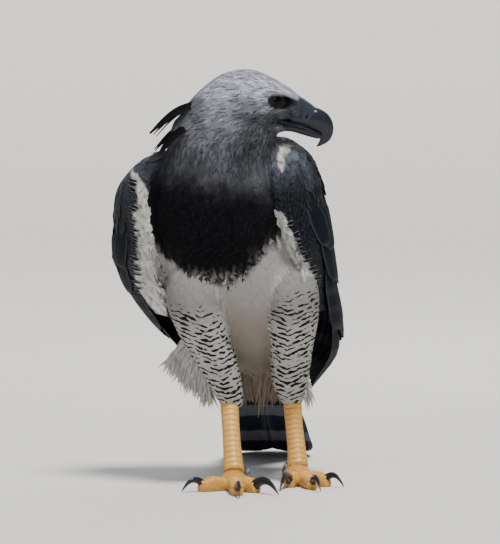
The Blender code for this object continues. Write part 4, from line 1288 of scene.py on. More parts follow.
class EAGLE_OT_coat(bpy.types.Operator):
    """Cover the skin with small feathers that follow the lie of the coat"""

    bl_idname = "eagle.coat"
    bl_label = "Small feathers"

    def execute(self, context):
        sizes = context.scene.eagle
        skin = bpy.data.objects["skin"]
        skin.data.calc_loop_triangles()
        faces = values_of(skin.data.loop_triangles, "vertices", 3, int)
        Skin.surface = BVHTree.FromPolygons(Skin.own.tolist(), faces.tolist())
        region, t, c = Skin.place
        x, y, z = Skin.own.T
        soft = plumage("plumage", 0.8, 0.05)
        sleek = plumage("covert_plumage", 0.55, 0.08)
        eye_away = np.hypot(x - EYE_X, z - EYE_Z) > np.where(x < EYE_X, 8.3, 9.6)
        bare = (x > 76 + 3.5 * ripple(Skin.own, 2.5)) | ((z < 483.5) & (x > 62))
        gape = (np.abs(z - np.interp(x, (40, 96), (483, 468.6))) < 1.6) & (x > 41)
        head = (region == ON_HEAD) & eye_away & ~bare & ~gape
        torso = region == ON_TORSO
        hip = on_legs(region) & (z > HIP_Z)
        back = torso & (y - torso_middle(z) > 16)
        front = torso & ~back
        over_edge = z - np.interp(x, *np.array(BAND_LOW).T)
        fringe = front & (over_edge > 3) & (over_edge < 13) & (x < 38) & (x > -72)
        plans = (
            ("coat_head", head, "head_feathers", soft, SHORT),
            ("coat_neck", region == ON_NECK, "head_feathers", soft, RUFF),
            ("coat_breast", front & (z > BELLY_Z), "breast_feathers", soft, BREAST),
            ("coat_belly", (front & (z <= BELLY_Z)) | hip, "belly_feathers", soft, FINE),
            ("coat_breast_edge", fringe, "breast_feathers", soft, EDGE),
            ("coat_back", back, "wing_feathers", sleek, COVER),
            ("coat_vent", region == ON_VENT, "belly_feathers", soft, LOOSE),
            ("coat_rump", region == ON_TAIL, "tail_feathers", sleek, COVER),
            ("coat_thigh_right", (region == ON_RIGHT_LEG) & ~hip, "leg_feathers", soft, LEG),
            ("coat_thigh_left", (region == ON_LEFT_LEG) & ~hip, "leg_feathers", soft, LEG),
        )
        for k, (name, chosen, slot, material, look) in enumerate(plans):
            made = coat(name, np.nonzero(chosen)[0], sizes, 11 + k, look)
            finish_piece(made, material)
        for number, name in ((ON_RIGHT_WING, "right"), (ON_LEFT_WING, "left")):
            on = (region == number) & ((t < COVERTS_END) | ((c < 0.26) & (c > -0.6)))
            made = coat("coverts_" + name, np.nonzero(on)[0], sizes, 31 + number, COVERT)
            finish_piece(made, sleek)
        return {"FINISHED"}


def wing_vanes(side, row, count, slate, rng, rows=16):
    """One row of long feathers on a folded wing, each a full curved blade."""
    k = np.linspace(0, 1, count)
    root_t, root_c, tip_t, tip_c = (first + change * k for first, change in row["root"] + row["tip"])
    if row["uneven"]:
        tip_t = tip_t + rng.uniform(-row["uneven"], row["uneven"], count)
    tone = slate * (row["tone"][0] + row["tone"][1] * rng.random((count, 1)))
    low, high = (lift - k * row["drop"] for lift in row["lifts"])
    blunt = row["blunt"]
    s = np.linspace(0, 1, rows)[None, :]
    at_t = root_t[:, None] + (tip_t - root_t)[:, None] * s
    at_c = root_c[:, None] + (tip_c - root_c)[:, None] * s
    profile = spline_at((0.4, 0.66, 0.86, 1.0, 1.0, 0.97, 0.86, blunt), s)
    profile = np.where(s > 0.999, blunt * 0.55, profile)
    step = wing_at(side, at_t, at_c + 0.01, 0) - wing_at(side, at_t, at_c - 0.01, 0)
    stretch = np.maximum(np.linalg.norm(step, axis=-1) / 0.02, 60)
    lift = low[:, None] + (high - low)[:, None] * smooth(0, 0.35, s)
    k = np.array((-1, -0.62, -0.12, 0, 0.12, 0.62, 1.0))
    reach = row["width"] * profile / 2 / stretch
    c = np.clip(at_c[..., None] + k * reach[..., None], 0.01 + 0.01 * k, 0.985 + 0.01 * k)
    height = lift[..., None] + k * row["tilt"] * profile[..., None]
    body = row["thick"] * np.array((0.0, 0.7, 0.9, 1.7, 0.9, 0.7, 0.0))
    ridge = body * (1 - 0.6 * s[..., None])
    top = wing_at(side, at_t[..., None], c, height + ridge)
    under = wing_at(side, at_t[..., None], c, height - np.maximum(ridge * 0.5, 0.12))[:, :, 5:0:-1]
    rings = np.concatenate((top, under), 2)
    spots = np.stack((np.linspace(0.05, 0.95, count), np.full(count, row["patch"])), -1)
    return tubes(row["name"], rings, tone[:, None, None], row["marks"], spots, (0.8 / max(count, 8), 0.1))


def wing_spots(side, x, high, reach=0.45):
    """The t and c of the places on a wing's front that show nearest to each x and height."""
    t, c = np.meshgrid(np.linspace(0, 0.72, 160), np.linspace(0, reach, 80), indexing="ij")
    place = wing_at(side, t, c, -wing_sink(t))
    across = place[..., 0].ravel()[None] - x[:, None]
    above = seen_height(place).ravel()[None] - high[:, None]
    best = (across**2 + above**2).argmin(1)
    return t.ravel()[best], c.ravel()[best]


def lining_tongues(side, tone):
    """The dark feathers whose tips lie over the white lining, with pale outlines."""
    rng = np.random.default_rng(61 + side)
    keys = np.array(WHITE_LINING[side])
    high = np.arange(258, 408, 6.6) if side < 0 else np.arange(266, 352, 7.4)
    high = high + rng.uniform(-2.4, 2.4, len(high))
    edge = np.interp(high, keys[:, 0], keys[:, 1 if side < 0 else 2])
    root = wing_spots(side, edge + side * 6, high + 3)
    tip = wing_spots(side, edge - side * rng.uniform(5, 14, len(high)), high - 1.5)
    s = np.linspace(0, 1, 5)[None]
    t, c = (a[:, None] + (b - a)[:, None] * s for a, b in zip(root, tip))
    sink = -wing_sink(t)
    centres = wing_at(side, t, c, sink + 3.4 * smooth(0, 0.5, s))
    here = wing_at(side, t, c, sink)
    down, out = wing_at(side, t + 0.01, c, sink) - here, wing_at(side, t, c + 0.01, sink) - here
    faces, ways = unit(np.cross(down, out) * side), unit(np.gradient(centres, axis=1))
    rings = blades(centres, faces, ways, rng.uniform(3.8, 7.0, len(high)), BODY_FEATHER, 0.08)
    tones = np.asarray(tone) * rng.uniform(0.7, 1.2, (len(high), 1))
    spots = unwrap(centres[:, 0], np.full(len(high), WING_REGIONS[side]), *root)
    return tubes("tongues", rings, tones[:, None, None], (3.6, 0, 0), spots)


def rear_feathers(tone):
    """Feathers of the left shoulder whose tips stand out a little behind it."""
    seen = np.array(REAR_FEATHERS, float)
    t, c = wing_spots(1, seen[:, 0], seen[:, 1], 0.8)
    place = wing_at(1, t, c, 0)
    end = vec(seen[:, 0], place[:, 1] + 4, place[:, 2])
    begin = end + vec(seen[:, 2] - seen[:, 0], -2, seen[:, 3] - seen[:, 1])
    s = np.linspace(0, 1, 5)[None, :, None]
    centres = begin[:, None] + (end - begin)[:, None] * s
    faces = np.broadcast_to(unit(np.array((0.25, -1.0, 0.2))), centres.shape)
    ways = np.broadcast_to(unit(end - begin)[:, None], centres.shape)
    rings = blades(centres, faces, ways, np.full(len(seen), 11.0), POINTED_FEATHER, 0.05)
    spots = unwrap(begin, np.full(len(seen), ON_LEFT_WING), t, c)
    return tubes("rear", rings, np.asarray(tone), (0.5, 0, 0), spots)


class EAGLE_OT_wings(bpy.types.Operator):
    """Lay the coverts, secondaries and primaries of both folded wings"""

    bl_idname = "eagle.wings"
    bl_label = "Wing feathers"

    def execute(self, context):
        sizes = context.scene.eagle
        sleek = plumage("flight_plumage", 0.6, 0.04)
        slate = np.array(sizes.slate)
        coverts = sizes.greater_coverts
        counts = (sizes.primaries, sizes.secondaries, coverts, coverts + 2)
        for side, name in ((-1, "right"), (1, "left")):
            rng = np.random.default_rng(90 + side)
            pieces = [wing_vanes(side, row, count, slate, rng) for row, count in zip(WING_ROWS, counts)]
            pieces.append(lining_tongues(side, slate * 0.6))
            if side > 0:
                pieces.append(rear_feathers(slate * 0.4))
            finish_piece(joined("flight_feathers_" + name, pieces), sleek)
        return {"FINISHED"}


def hanging_plumes(where, count, rng):
    """Roots and tips of soft plumes behind the right leg, behind the left one, or under the tail."""
    share, depth, down = rng.random(count), rng.random(count), rng.random(count)
    if where == "right":
        root = vec(-66 + 24 * share, 80 + 30 * depth, 196 - 22 * share)
        tip = vec(-97 + 58 * share, 90 + 28 * depth, 152 - 50 * share)
    elif where == "left":
        root = vec(74 + 8 * share, 92 + 22 * depth, 190 - 30 * share)
        tip = vec(82 + 9 * share, 100 + 20 * depth, 126 - 26 * share)
    else:
        root = vec(-28 + 84 * share, 103 + 18 * depth, 190 - 26 * depth)
        tip = vec(-24 + 78 * share, 108 + 16 * depth, 112 - 6 * depth)
    run = tip - root
    begin = root + run * (0.72 * down)[:, None]
    end = begin + run * rng.uniform(0.28, 0.42, count)[:, None]
    loose = 2.0 + 3.0 * smooth(0.5, 1.0, down)[:, None]
    return begin, end + rng.normal(0, 1, (count, 3)) * loose


class EAGLE_OT_plumes(bpy.types.Operator):
    """Hang the long soft plumes behind both legs and under the tail"""

    bl_idname = "eagle.plumes"
    bl_label = "Hanging plumes"

    def execute(self, context):
        sizes = context.scene.eagle
        rng = np.random.default_rng(71)
        soft = plumage("plume_plumage", 0.8, 0.15)
        white = np.array(sizes.white) * 1.05
        groups = (
            ("right", sizes.right_plumes, -1, white),
            ("left", sizes.left_plumes, 1, white),
            ("middle", sizes.middle_plumes, 0, PLUME_BEIGE),
        )
        for where, count, outer, tone in groups:
            root, tip = hanging_plumes(where, count, rng)
            s = np.linspace(0, 1, 7)[None, :, None]
            sag = np.array((1.2 * outer, -1.5, 0.6))
            place = root[:, None] + (tip - root)[:, None] * s + sag * np.sin(math.pi * s)
            outward = unit(vec(outer * 0.6, -0.8 + rng.normal(0, 0.2, count), rng.normal(0, 0.15, count)))
            across = unit(np.cross(outward, tip - root))[:, None]
            profile = spline_at((0.7, 1.0, 1.0, 0.8, 0.45, 0.1), s[..., 0])[..., None]
            half = rng.uniform(0.9, 2.3, count)[:, None, None] * profile
            wide, outward = across * half, outward[:, None]
            rings = (place - wide, place + outward * 0.5, place + wide, place - outward * 0.3)
            tints = tone * rng.uniform(0.92, 1.04, (count, 1))
            spots = unwrap(root, np.full(count, ON_VENT), np.zeros(count), np.zeros(count))
            made = tubes("plumes_" + where, np.stack(rings, 2), tints[:, None, None], (0, 0, 0), spots)
            finish_piece(made, soft)
        return {"FINISHED"}


class EAGLE_OT_tail(bpy.types.Operator):
    """Lay the fan of twelve tail feathers"""

    bl_idname = "eagle.tail"
    bl_label = "Tail feathers"

    def execute(self, context):
        sizes = context.scene.eagle
        half_count = TAIL_FEATHERS // 2
        rows = 22
        all_rings = []
        for k in range(TAIL_FEATHERS):
            side = -1 if k < half_count else 1
            rank = half_count - 1 - k if side < 0 else k - half_count
            share = (rank + 0.5) / half_count
            length = TAIL_LENGTH - 26 * share**2
            top = 1.5 * (half_count - 1 - rank) + (1.5 if rank == 0 and side > 0 else 0)
            t = np.linspace(0, 1, rows)
            along = 26 + (length - 26) * t
            middle = side * share * (17 + (TAIL_HALF_FAN - 17) * smooth(0, 1, t))
            half = TAIL_WIDTH / 2 * spline_at((0.42, 0.62, 0.76, 0.88, 1.0, 1.0, 0.96, 0.45), t)
            lift = 1.2 + top * (0.35 + 0.65 * smooth(0, 0.16, t))
            inner = half if rank == 0 else np.minimum(half, np.abs(middle) - 0.4)
            offsets = np.array((-1, -0.6, -0.1, 0, 0.1, 0.6, 1.0))
            reach = np.where(offsets[None] * side < 0, inner[:, None], half[:, None])
            x = middle[:, None] + offsets[None] * reach
            droop = 0.0012 * x * x * (1 - smooth(0.6, 0.85, t))[:, None]
            y, z = tail_line(along[:, None], lift[:, None] - droop)
            ridge = np.array((0, 0.15, 0.2, 0.45, 0.2, 0.15, 0))[None]
            upper = in_pose(vec(x, y, z)) + vec(0, 0, ridge + 0 * x)
            lower = in_pose(vec(x, y, z - 0.35))[:, 5:0:-1]
            all_rings.append(np.concatenate((upper, lower), 1))
        tone = np.array(sizes.slate) * 0.8
        spots = np.stack((np.linspace(0.05, 0.95, TAIL_FEATHERS), np.full(TAIL_FEATHERS, 0.5)), -1)
        tail = tubes("tail_fan", np.stack(all_rings), tone, (0.3, 0, 1.0), spots, (0.06, 0.9))
        finish_piece(tail, plumage("tail_plumage", 0.55, 0.08))
        return {"FINISHED"}


# Across and outward, round one feather of the crest
CREST_SECTION = ((-1, 0), (-0.5, 0.5), (0, 1.0), (0.5, 0.5), (1, 0), (0.5, -0.1), (0, -0.3), (-0.5, -0.1))


class EAGLE_OT_crest(bpy.types.Operator):
    """Lay the double crest back over the nape"""

    bl_idname = "eagle.crest"
    bl_label = "Crest"

    def execute(self, context):
        sizes = context.scene.eagle
        count = sizes.crest_feathers
        rng = np.random.default_rng(5)
        rows = 14
        all_rings = []
        for k in range(count):
            upper = k % 2 == 0
            spread_out = (k // 2) / (count // 2 - 1) * 2 - 1
            y = spread_out * (22 if upper else 28)
            root = np.array((-44 if upper else -52, HEAD_Y + y * 0.8, 505 if upper else 480), float)
            out = abs(spread_out)
            if upper:
                tip_x, tip_z = -117 + out * 5 + 3 * spread_out, 463 - 4 * spread_out
            else:
                tip_x, tip_z = -111 + out * 4 - 3 * spread_out, 441 + 5 * spread_out
            tip = np.array((tip_x, HEAD_Y + y * 1.5, tip_z)) + rng.uniform(-1.5, 1.5, 3)
            s = np.linspace(0, 1, rows)
            place = root + (tip - root) * s[:, None] + np.array((-3, 0, 7)) * np.sin(math.pi * s)[:, None]
            outward = unit(np.array((-0.45, -0.55 + 0.3 * spread_out, 0.7)))
            across = unit(np.cross(outward, tip - root))
            half = 7.0 * spline_at((0.6, 0.95, 1.0, 0.95, 0.75, 0.5, 0.12), s)
            edges = [place + across * (half * w)[:, None] + outward * h for w, h in CREST_SECTION]
            all_rings.append(np.stack(edges, 1))
        spots = np.stack((np.linspace(0.1, 0.9, count), np.full(count, 0.5)), -1)
        black = np.array(sizes.black)
        crest = tubes("crest_vanes", np.stack(all_rings), black, (0.06, 0, 0), spots, (0.06, 0.8))
        finish_piece(crest, plumage("crest_plumage", 0.6, 0.05))
        return {"FINISHED"}


class EAGLE_OT_eyes(bpy.types.Operator):
    """Set both eyes with their lids"""

    bl_idname = "eagle.eyes"
    bl_label = "Eyes and lids"

    def execute(self, context):
        sizes = context.scene.eagle
        wet = eye_material("eye", sizes.iris)
        rim = bare_material("lid_skin", (0.010, 0.010, 0.012), 0.5)
        for side, name in ((-1, "right"), (1, "left")):
            centre = np.array((EYE_X, HEAD_Y + side * EYE_OUT, EYE_Z))
            gaze = Vector((0.16, side, -0.02)).normalized()
            spot = Vector(in_world(centre))
            bpy.ops.mesh.primitive_uv_sphere_add(segments=48, ring_count=32, radius=EYE_RADIUS * MM)
            eye = bpy.context.object
            eye.name = "eyeball_" + name
            turn = Vector((0, 0, 1)).rotation_difference(gaze)
            eye.data.transform(Matrix.Translation(spot) @ turn.to_matrix().to_4x4())
            eye.data.shade_smooth()
            finish_piece(eye, wet, ("eye_" + name,))
            lids = tubes("lids_" + name, lid_rings(side, centre, np.array(gaze)))
            finish_piece(lids, rim)
        return {"FINISHED"}


# Round a lid: how much wider than the opening, in radians, and how far from the eye's centre
LID_SECTION = (
    (0.0, 11.2), (0.0, 11.8), (0.05, 12.1), (0.13, 12.1),
    (0.28, 11.8), (0.42, 11.2), (0.42, 10.4), (0.2, 10.6),
)


def lid_rings(side, centre, gaze):
    """Upper and lower lid: a soft ring round an almond opening that hugs the eyeball."""
    count = 64
    a = np.linspace(0, math.tau, count, endpoint=False)
    ahead = unit(np.array((1.0, 0, 0)) - gaze * gaze[0])
    up = np.cross(gaze, ahead) * side * -1
    up = up * np.sign(up[2])
    wide = np.radians(46)
    tall = np.where(np.sin(a) > 0, np.radians(27), np.radians(37))
    opening = 1 / np.sqrt((np.cos(a) / wide) ** 2 + (np.sin(a) / tall) ** 2)
    rows = []
    for wider, radius in LID_SECTION:
        angle = opening + wider
        spoke = ahead * np.cos(a)[:, None] + up * np.sin(a)[:, None]
        rows.append(centre + (gaze * np.cos(angle)[:, None] + spoke * np.sin(angle)[:, None]) * radius)
    ring = np.stack(rows, 1)
    return np.concatenate((ring, ring[:1]), 0)


class EAGLE_OT_bill(bpy.types.Operator):
    """Shape the cere with its nostrils, and the hooked bill"""

    bl_idname = "eagle.bill"
    bl_label = "Cere and bill"

    def execute(self, context):
        sizes = context.scene.eagle
        horn = horn_material("bill_horn", sizes.horn, 0.22)
        skin = bare_material("cere_skin", sizes.cere, 0.4, 0.25, 420.0, 0.6, 1.3)
        cere = tubes("cere_skin", bill_rings(CERE, 40, 56, 2.3), sharp=0)
        for side in (-1, 1):
            hole = nostril(side)
            cut = cere.modifiers.new("nostril", "BOOLEAN")
            cut.object = hole
            cut.solver = "MANIFOLD"
            apply_all(cere)
            bpy.data.meshes.remove(hole.data)
        cere.data.set_sharp_from_angle(angle=math.radians(50))
        finish_piece(cere, skin, ("cere",))
        upper = tubes("upper_bill", bill_rings(BILL_UPPER, 90, 48, 2.2), sharp=50)
        finish_piece(upper, horn, ("bill_upper",))
        lower = tubes("lower_bill", bill_rings(BILL_LOWER, 50, 40, 2.2), sharp=50)
        finish_piece(lower, horn, ("bill_lower",))
        # Near black: painted shade of the slit between the closed jaws, which this piece fills
        inside = tubes("mouth", bill_rings(MOUTH, 24, 24, 2.2), sharp=0)
        finish_piece(inside, bare_material("mouth_painted_shade", (0.006, 0.006, 0.007), 0.7))
        rims = [lip_rings(side, drop, size) for side in (-1, 1) for drop, size in ((-1.0, 0.8), (1.4, 1.3))]
        lips = tubes("lips", np.stack(rims), sharp=0)
        finish_piece(lips, skin)
        return {"FINISHED"}


def lip_rings(side, drop, radius):
    """The edge of one jaw's bare skin, from the corner of the mouth to the bill, on the face's surface."""
    t = np.linspace(0, 1, 30)
    x = 40 + 50 * t
    z = np.interp(x, (40.5, 96), (483.0, 469.5)) - drop
    y = []
    for a, b in zip(x.tolist(), z.tolist()):
        hit = Skin.surface.ray_cast(Vector((a, HEAD_Y + side * 90, b)), Vector((0, -side, 0)))[0]
        y.append(abs(hit.y - HEAD_Y) if hit else 0.0)
    bill = np.interp(x, (40, 54, 68, 82, 94), (0, 12, 12, 11.2, 10.2))
    out = np.maximum(np.array(y), bill)
    for _ in range(4):
        out[1:-1] = (out[:-2] + out[1:-1] + out[2:]) / 3
    size = radius * spline_at((0.5, 1.0, 0.9, 0.7, 0.4, 0.1), t)
    centre = vec(x, HEAD_Y + side * (out - 0.2), z)
    ahead = unit(np.gradient(centre, axis=0))
    up = unit(np.cross(ahead, np.tile((0.0, side, 0), (30, 1))))
    across = unit(np.cross(up, ahead))
    return rings_of(centre, across, up, size * 1.2, size, size, 12, 2.0)


def nostril(side):
    """A slanted oval that cuts one nostril."""
    bpy.ops.mesh.primitive_uv_sphere_add(segments=24, ring_count=16, radius=1)
    hole = bpy.context.object
    place = Vector(in_world((86.3, HEAD_Y + side * 14.2, 485.8)))
    shape = Matrix.Diagonal((1.3 * MM, 4.5 * MM, 3.4 * MM, 1))
    hole.data.transform(Matrix.Translation(place) @ Matrix.Rotation(math.radians(28), 4, "Y") @ shape)
    return hole


class EAGLE_OT_feet(bpy.types.Operator):
    """Shape tarsi, toes with their scutes, and talons"""

    bl_idname = "eagle.feet"
    bl_label = "Feet and talons"

    def execute(self, context):
        sizes = context.scene.eagle
        skin = foot_material("foot_skin", sizes.foot)
        plate = scute_material("scutes", sizes.foot)
        horn = horn_material("talon_horn", sizes.horn, 0.2)
        for side in ("right", "left"):
            pad, toes = FEET[side]
            flesh = [limb_rings(TARSI[side], 60, 40, 2.2)]
            plates = tarsus_plates(side)
            claws = []
            for name, (heading, length, claw_length, half_height, scutes) in toes.items():
                way = np.array((math.sin(math.radians(heading)), -math.cos(math.radians(heading)), 0))
                across = np.array((-way[1], way[0], 0))
                flesh.append(toe_rings(pad, way, across, length))
                plates += toe_plates(pad, way, across, length, scutes)
                claws.append((name, talon_rings(pad, way, across, length, claw_length, half_height)))
            foot = solid_foot(side, pad, flesh)
            finish_piece(foot, skin, ("foot_" + side, "tarsus_" + side))
            finish_piece(tubes("scutes_" + side, np.stack(plates), sharp=50), plate)
            for name, rings in claws:
                claw = tubes(f"claw_{side}_{name}", rings, sharp=0)
                finish_piece(claw, horn, (f"talon_{side}_{name}",))
        return {"FINISHED"}


def toe_radius(length, t):
    """A toe's radius down its length, swelling at the pads and closing at the claw."""
    swell = 1 + 0.07 * np.cos(math.tau * t * (2.5 if length > 60 else 1.6))
    radius = spline_at((10.4, 10.0, 9.6, 9.1, 8.4), t) * swell
    return radius * np.where(t > 0.93, 1 - 0.35 * smooth(0.93, 1, t), 1)


def toe_rings(pad, way, across, length):
    """One toe with soft pads beneath."""
    t = np.linspace(0, 1, 48)
    radius = toe_radius(length, t)
    centre = np.array((pad[0], pad[1], 0)) + way * length * t[:, None] + vec(0, 0, radius - SOLE_SINK)
    across, up = (np.tile(v, (len(t), 1)) for v in (across, (0.0, 0, 1)))
    return rings_of(centre, across, up, radius, radius, radius, 32, 2.2)


def bent_plate(centre, across, up, ahead, half, high, run, length, spread_angle):
    """One scute: a plate bent over the top of a toe or tarsus, its front edge standing up."""
    angles = np.linspace(-spread_angle, spread_angle, 9)
    swell = np.cos(angles / spread_angle * math.pi / 2)

    def bent_over(place, more):
        out = place + across * (np.sin(angles) * (half + more))[:, None]
        return out + up * (np.cos(angles) * (high + more))[:, None]

    rows = []
    for s in (0.0, 0.25, 0.6, 0.9, 1.0):
        lift = (0.25 + 0.75 * math.sin(math.pi / 2 * min(s / 0.8, 1))) * (1 if s < 1 else 0.35)
        place = centre + ahead * (-run * 0.5 + length * s * (0.82 + 0.18 * swell)[:, None])
        top, low = bent_over(place, lift * swell**0.5), bent_over(place, -1.2)
        rows.append(np.concatenate((top, low[-2:0:-1]), 0))
    return np.stack(rows)


def toe_plates(pad, way, across, length, scutes):
    """The row of broad plates down the top of one toe."""
    made = []
    first = 0.16 if length > 60 else 0.2
    up = np.array((0, 0, 1.0))
    run = length * (0.97 - first) / scutes
    for k in range(scutes):
        t = first + (0.97 - first) * (k + 0.5) / scutes
        radius = float(toe_radius(length, np.array(t)))
        centre = np.array((pad[0], pad[1], radius - SOLE_SINK)) + way * length * t
        made.append(bent_plate(centre, across, up, way, radius, radius, run, run * 1.06, 1.0))
    return made


def tarsus_plates(side):
    """The plates down the front of the tarsus."""
    made = []
    keys = TARSI[side]
    count = 13
    for k in range(count):
        t = 0.22 + 0.74 * (k + 0.5) / count
        here = spline_at(keys, t)
        ahead = unit(spline_at(keys, t + 0.02)[:3] - spline_at(keys, t - 0.02)[:3])
        across = unit(np.array((1.0, 0, 0)) - ahead * ahead[0])
        forward = np.cross(across, ahead)
        forward = forward * (-1 if forward[1] > 0 else 1)
        step = spline_at(keys, t + 0.5 / count)[:3] - spline_at(keys, t - 0.5 / count)[:3]
        run = np.linalg.norm(step) * 0.76
        made.append(bent_plate(here[:3], across, forward, ahead, here[3], here[4], run, run * 1.05, 1.15))
    return made


def talon_rings(pad, way, across, toe_length, length, half_height):
    """A claw that arches up from its toe and comes down to the floor."""
    start = np.array((pad[0], pad[1], 0)) + way * (toe_length - 6)
    t = np.linspace(0, 1, 40)
    keys = ((0.0, 9.5), (0.5, 21 + half_height), (1.0, 1.6))
    a, b, c = (way * k * length + np.array((0, 0, z)) for k, z in keys)
    w = t[:, None]
    place = start + a * (1 - w) ** 2 + b * 2 * w * (1 - w) + c * w * w
    ahead = unit((b - a) * (1 - w) + (c - b) * w)
    up = unit(np.cross(np.tile(across, (len(t), 1)), ahead))
    up = up * np.where(up[:, 2:] < 0, -1, 1)
    size = half_height * (1 - t) ** 0.75 + 0.35
    return rings_of(place, np.tile(across, (len(t), 1)), up, size * 0.74, size, size, 24, 2.1)


def solid_foot(side, pad, flesh):
    """Tarsus, pad and toes grown together as one skin, flat where they stand."""
    bpy.ops.mesh.primitive_uv_sphere_add(segments=48, ring_count=24, radius=1)
    ball = bpy.context.object
    middle = Vector(in_world((pad[0], pad[1], 12.5)))
    ball.data.transform(Matrix.Translation(middle) @ Matrix.Diagonal((17 * MM, 17 * MM, 13 * MM, 1)))
    foot = joined("foot_skin_" + side, [ball] + [tubes("toe", rings, sharp=0) for rings in flesh])
    even_skin(foot, FOOT_STEP, 6)
    points = values_of(foot.data.vertices, "co")
    points[:, 2] = np.maximum(points[:, 2], 0.0)
    foot.data.vertices.foreach_set("co", points.ravel())
    foot.data.update()
    foot.data.shade_smooth()
    return foot


class EAGLE_OT_stage(bpy.types.Operator):
    """Lay a pale floor with a curved backdrop, soft lights, and the camera"""

    bl_idname = "eagle.stage"
    bl_label = "Floor, lights and camera"

    def execute(self, context):
        sizes = context.scene.eagle
        bpy.ops.mesh.primitive_plane_add(size=32, location=(0, 0, 0))
        floor = bpy.context.object
        floor.name = "floor"
        mesh = floor.data
        bpy.ops.object.mode_set(mode="EDIT")
        bm = bmesh.from_edit_mesh(mesh)
        bpy.ops.mesh.select_all(action="DESELECT")
        bm.select_mode = {"EDGE"}
        for edge in bm.edges:
            if all(v.co.y > 15 for v in edge.verts):
                edge.select = True
        bm.select_flush_mode()
        bmesh.update_edit_mesh(mesh)
        bpy.ops.mesh.extrude_region_move(TRANSFORM_OT_translate={"value": (0, 0, 12)})
        bpy.ops.mesh.select_all(action="DESELECT")
        bm = bmesh.from_edit_mesh(mesh)
        for edge in bm.edges:
            if all(v.co.y > 15 and v.co.z < 0.1 for v in edge.verts):
                edge.select = True
        bmesh.update_edit_mesh(mesh)
        bpy.ops.mesh.bevel(offset=6, segments=24, affect="EDGES")
        bpy.ops.object.mode_set(mode="OBJECT")
        mesh.shade_smooth()
        shader = Shader("floor", 0.8, 0.2)
        floor.data.materials.append(shader.end((0.72, 0.72, 0.70, 1)))
        lamps = (
            ("key_light", "SUN", (0.5, -1.1, 2.6), 0.3, sizes.key_power, (1.0, 0.975, 0.94)),
            ("fill_light", "AREA", (-1.0, -3.2, 2.0), 0.45, sizes.fill_power, (0.95, 0.97, 1.0)),
            ("rim_light", "AREA", (0.8, 2.2, 2.4), 1.6, sizes.fill_power, (1.0, 1.0, 1.0)),
        )
        for name, kind, place, size, power, colour in lamps:
            lamp = bpy.data.lights.new(name, kind)
            if kind == "SUN":
                lamp.angle = size
            else:
                lamp.size = size
            lamp.energy = power
            lamp.color = colour
            holder = new_object(name, lamp)
            holder.location = place
            aim = Vector((0, 0, 0.25)) - Vector(place)
            holder.rotation_euler = aim.to_track_quat("-Z", "Y").to_euler()
        world = bpy.data.worlds.new("studio")
        world.use_nodes = True
        sky = world.node_tree.nodes["Background"].inputs
        sky["Color"].default_value = (0.72, 0.76, 0.82, 1)
        sky["Strength"].default_value = 0.34
        context.scene.world = world
        target = Vector(in_world(VIEW_TARGET))
        lens = bpy.data.cameras.new("camera")
        lens.sensor_fit = "VERTICAL"
        lens.angle = 2 * math.atan(0.3535 / sizes.camera_distance)
        camera = new_object("camera", lens)
        away = Vector((0, -math.cos(VIEW_RISE), math.sin(VIEW_RISE))) * sizes.camera_distance
        camera.location = target + away
        camera.rotation_euler = (-away).to_track_quat("-Z", "Y").to_euler()
        context.scene.camera = camera
        return {"FINISHED"}


def length(name, note, default):
    return FloatProperty(name=name, description=note, default=default, unit="LENGTH")


def amount(name, note, default, least=2):
    return IntProperty(name=name, description=note, default=default, min=least)


def colour(name, note, default):
    return FloatVectorProperty(name=name, description=note, default=default, subtype="COLOR")


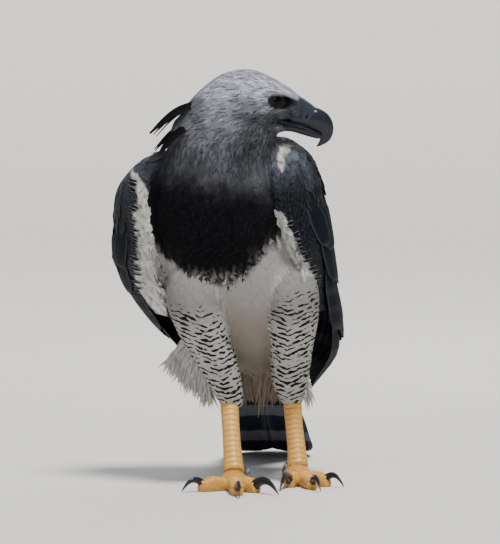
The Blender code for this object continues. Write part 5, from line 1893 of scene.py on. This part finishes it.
class EagleSizes(bpy.types.PropertyGroup):
    """Sizes and colours of the finished eagle"""

    skin_step: length("Skin step", "Size of the skin's faces", 0.0024)
    coat_depth: length("Coat depth", "Depth of the body's coat", 0.0035)
    breast_feather: length("Breast feather", "Its length", 0.022)
    back_feather: length("Back feather", "Its length", 0.034)
    leg_feather: length("Leg feather", "Its length", 0.009)
    vent_plume: length("Vent plume", "Its length", 0.044)
    primaries: amount("Primaries", "How many show in a folded wing", 9)
    secondaries: amount("Secondaries", "How many in a wing", 13)
    greater_coverts: amount("Greater coverts", "How many in a wing", 15)
    right_plumes: amount("Right plumes", "Behind the right leg", 3000, 1)
    left_plumes: amount("Left plumes", "Behind the left leg", 900, 1)
    middle_plumes: amount("Middle plumes", "Under the tail", 1800, 1)
    crest_feathers: amount("Crest feathers", "How many, an even number", 10, 4)
    slate: colour("Slate", "Back and wings", (0.0085, 0.0115, 0.0195))
    black: colour("Black", "Breast band and crest", (0.0035, 0.0035, 0.0045))
    grey: colour("Grey", "Head", (0.22, 0.222, 0.243))
    white: colour("White", "Belly, legs and vent", (0.50, 0.485, 0.455))
    horn: colour("Horn", "Bill and talons", (0.0085, 0.0095, 0.013))
    cere: colour("Cere", "Bare skin at the bill", (0.022, 0.028, 0.039))
    foot: colour("Foot", "Skin of the feet", (0.68, 0.40, 0.085))
    iris: colour("Iris", "Iris of the eye", (0.008, 0.006, 0.005))
    key_power: FloatProperty(name="Key light", description="Its strength as a sun", default=4.4)
    fill_power: FloatProperty(name="Fill lights", description="Their power in watts", default=30.0)
    camera_distance: length("Camera distance", "From the bird", 7.0)


class EAGLE_PT_panel(bpy.types.Panel):
    """Buttons for every piece, in building order"""

    bl_label = "Harpy Eagle"
    bl_idname = "EAGLE_PT_panel"
    bl_space_type = "VIEW_3D"
    bl_region_type = "UI"
    bl_category = "Eagle"

    def draw(self, context):
        for piece in PIECES:
            self.layout.operator(piece.bl_idname)
        for name in EagleSizes.__annotations__:
            self.layout.prop(context.scene.eagle, name)


PIECES = (
    EAGLE_OT_skin,
    EAGLE_OT_coat,
    EAGLE_OT_wings,
    EAGLE_OT_plumes,
    EAGLE_OT_tail,
    EAGLE_OT_crest,
    EAGLE_OT_eyes,
    EAGLE_OT_bill,
    EAGLE_OT_feet,
    EAGLE_OT_stage,
)
CLASSES = (EagleSizes, EAGLE_PT_panel) + PIECES


def register():
    for kind in CLASSES:
        bpy.utils.register_class(kind)
    bpy.types.Scene.eagle = PointerProperty(type=EagleSizes)


def unregister():
    del bpy.types.Scene.eagle
    for kind in reversed(CLASSES):
        bpy.utils.unregister_class(kind)


def main():
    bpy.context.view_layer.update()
    register()
    for piece in PIECES:
        group, name = piece.bl_idname.split(".")
        getattr(getattr(bpy.ops, group), name)()


if __name__ == "__main__":
    main()
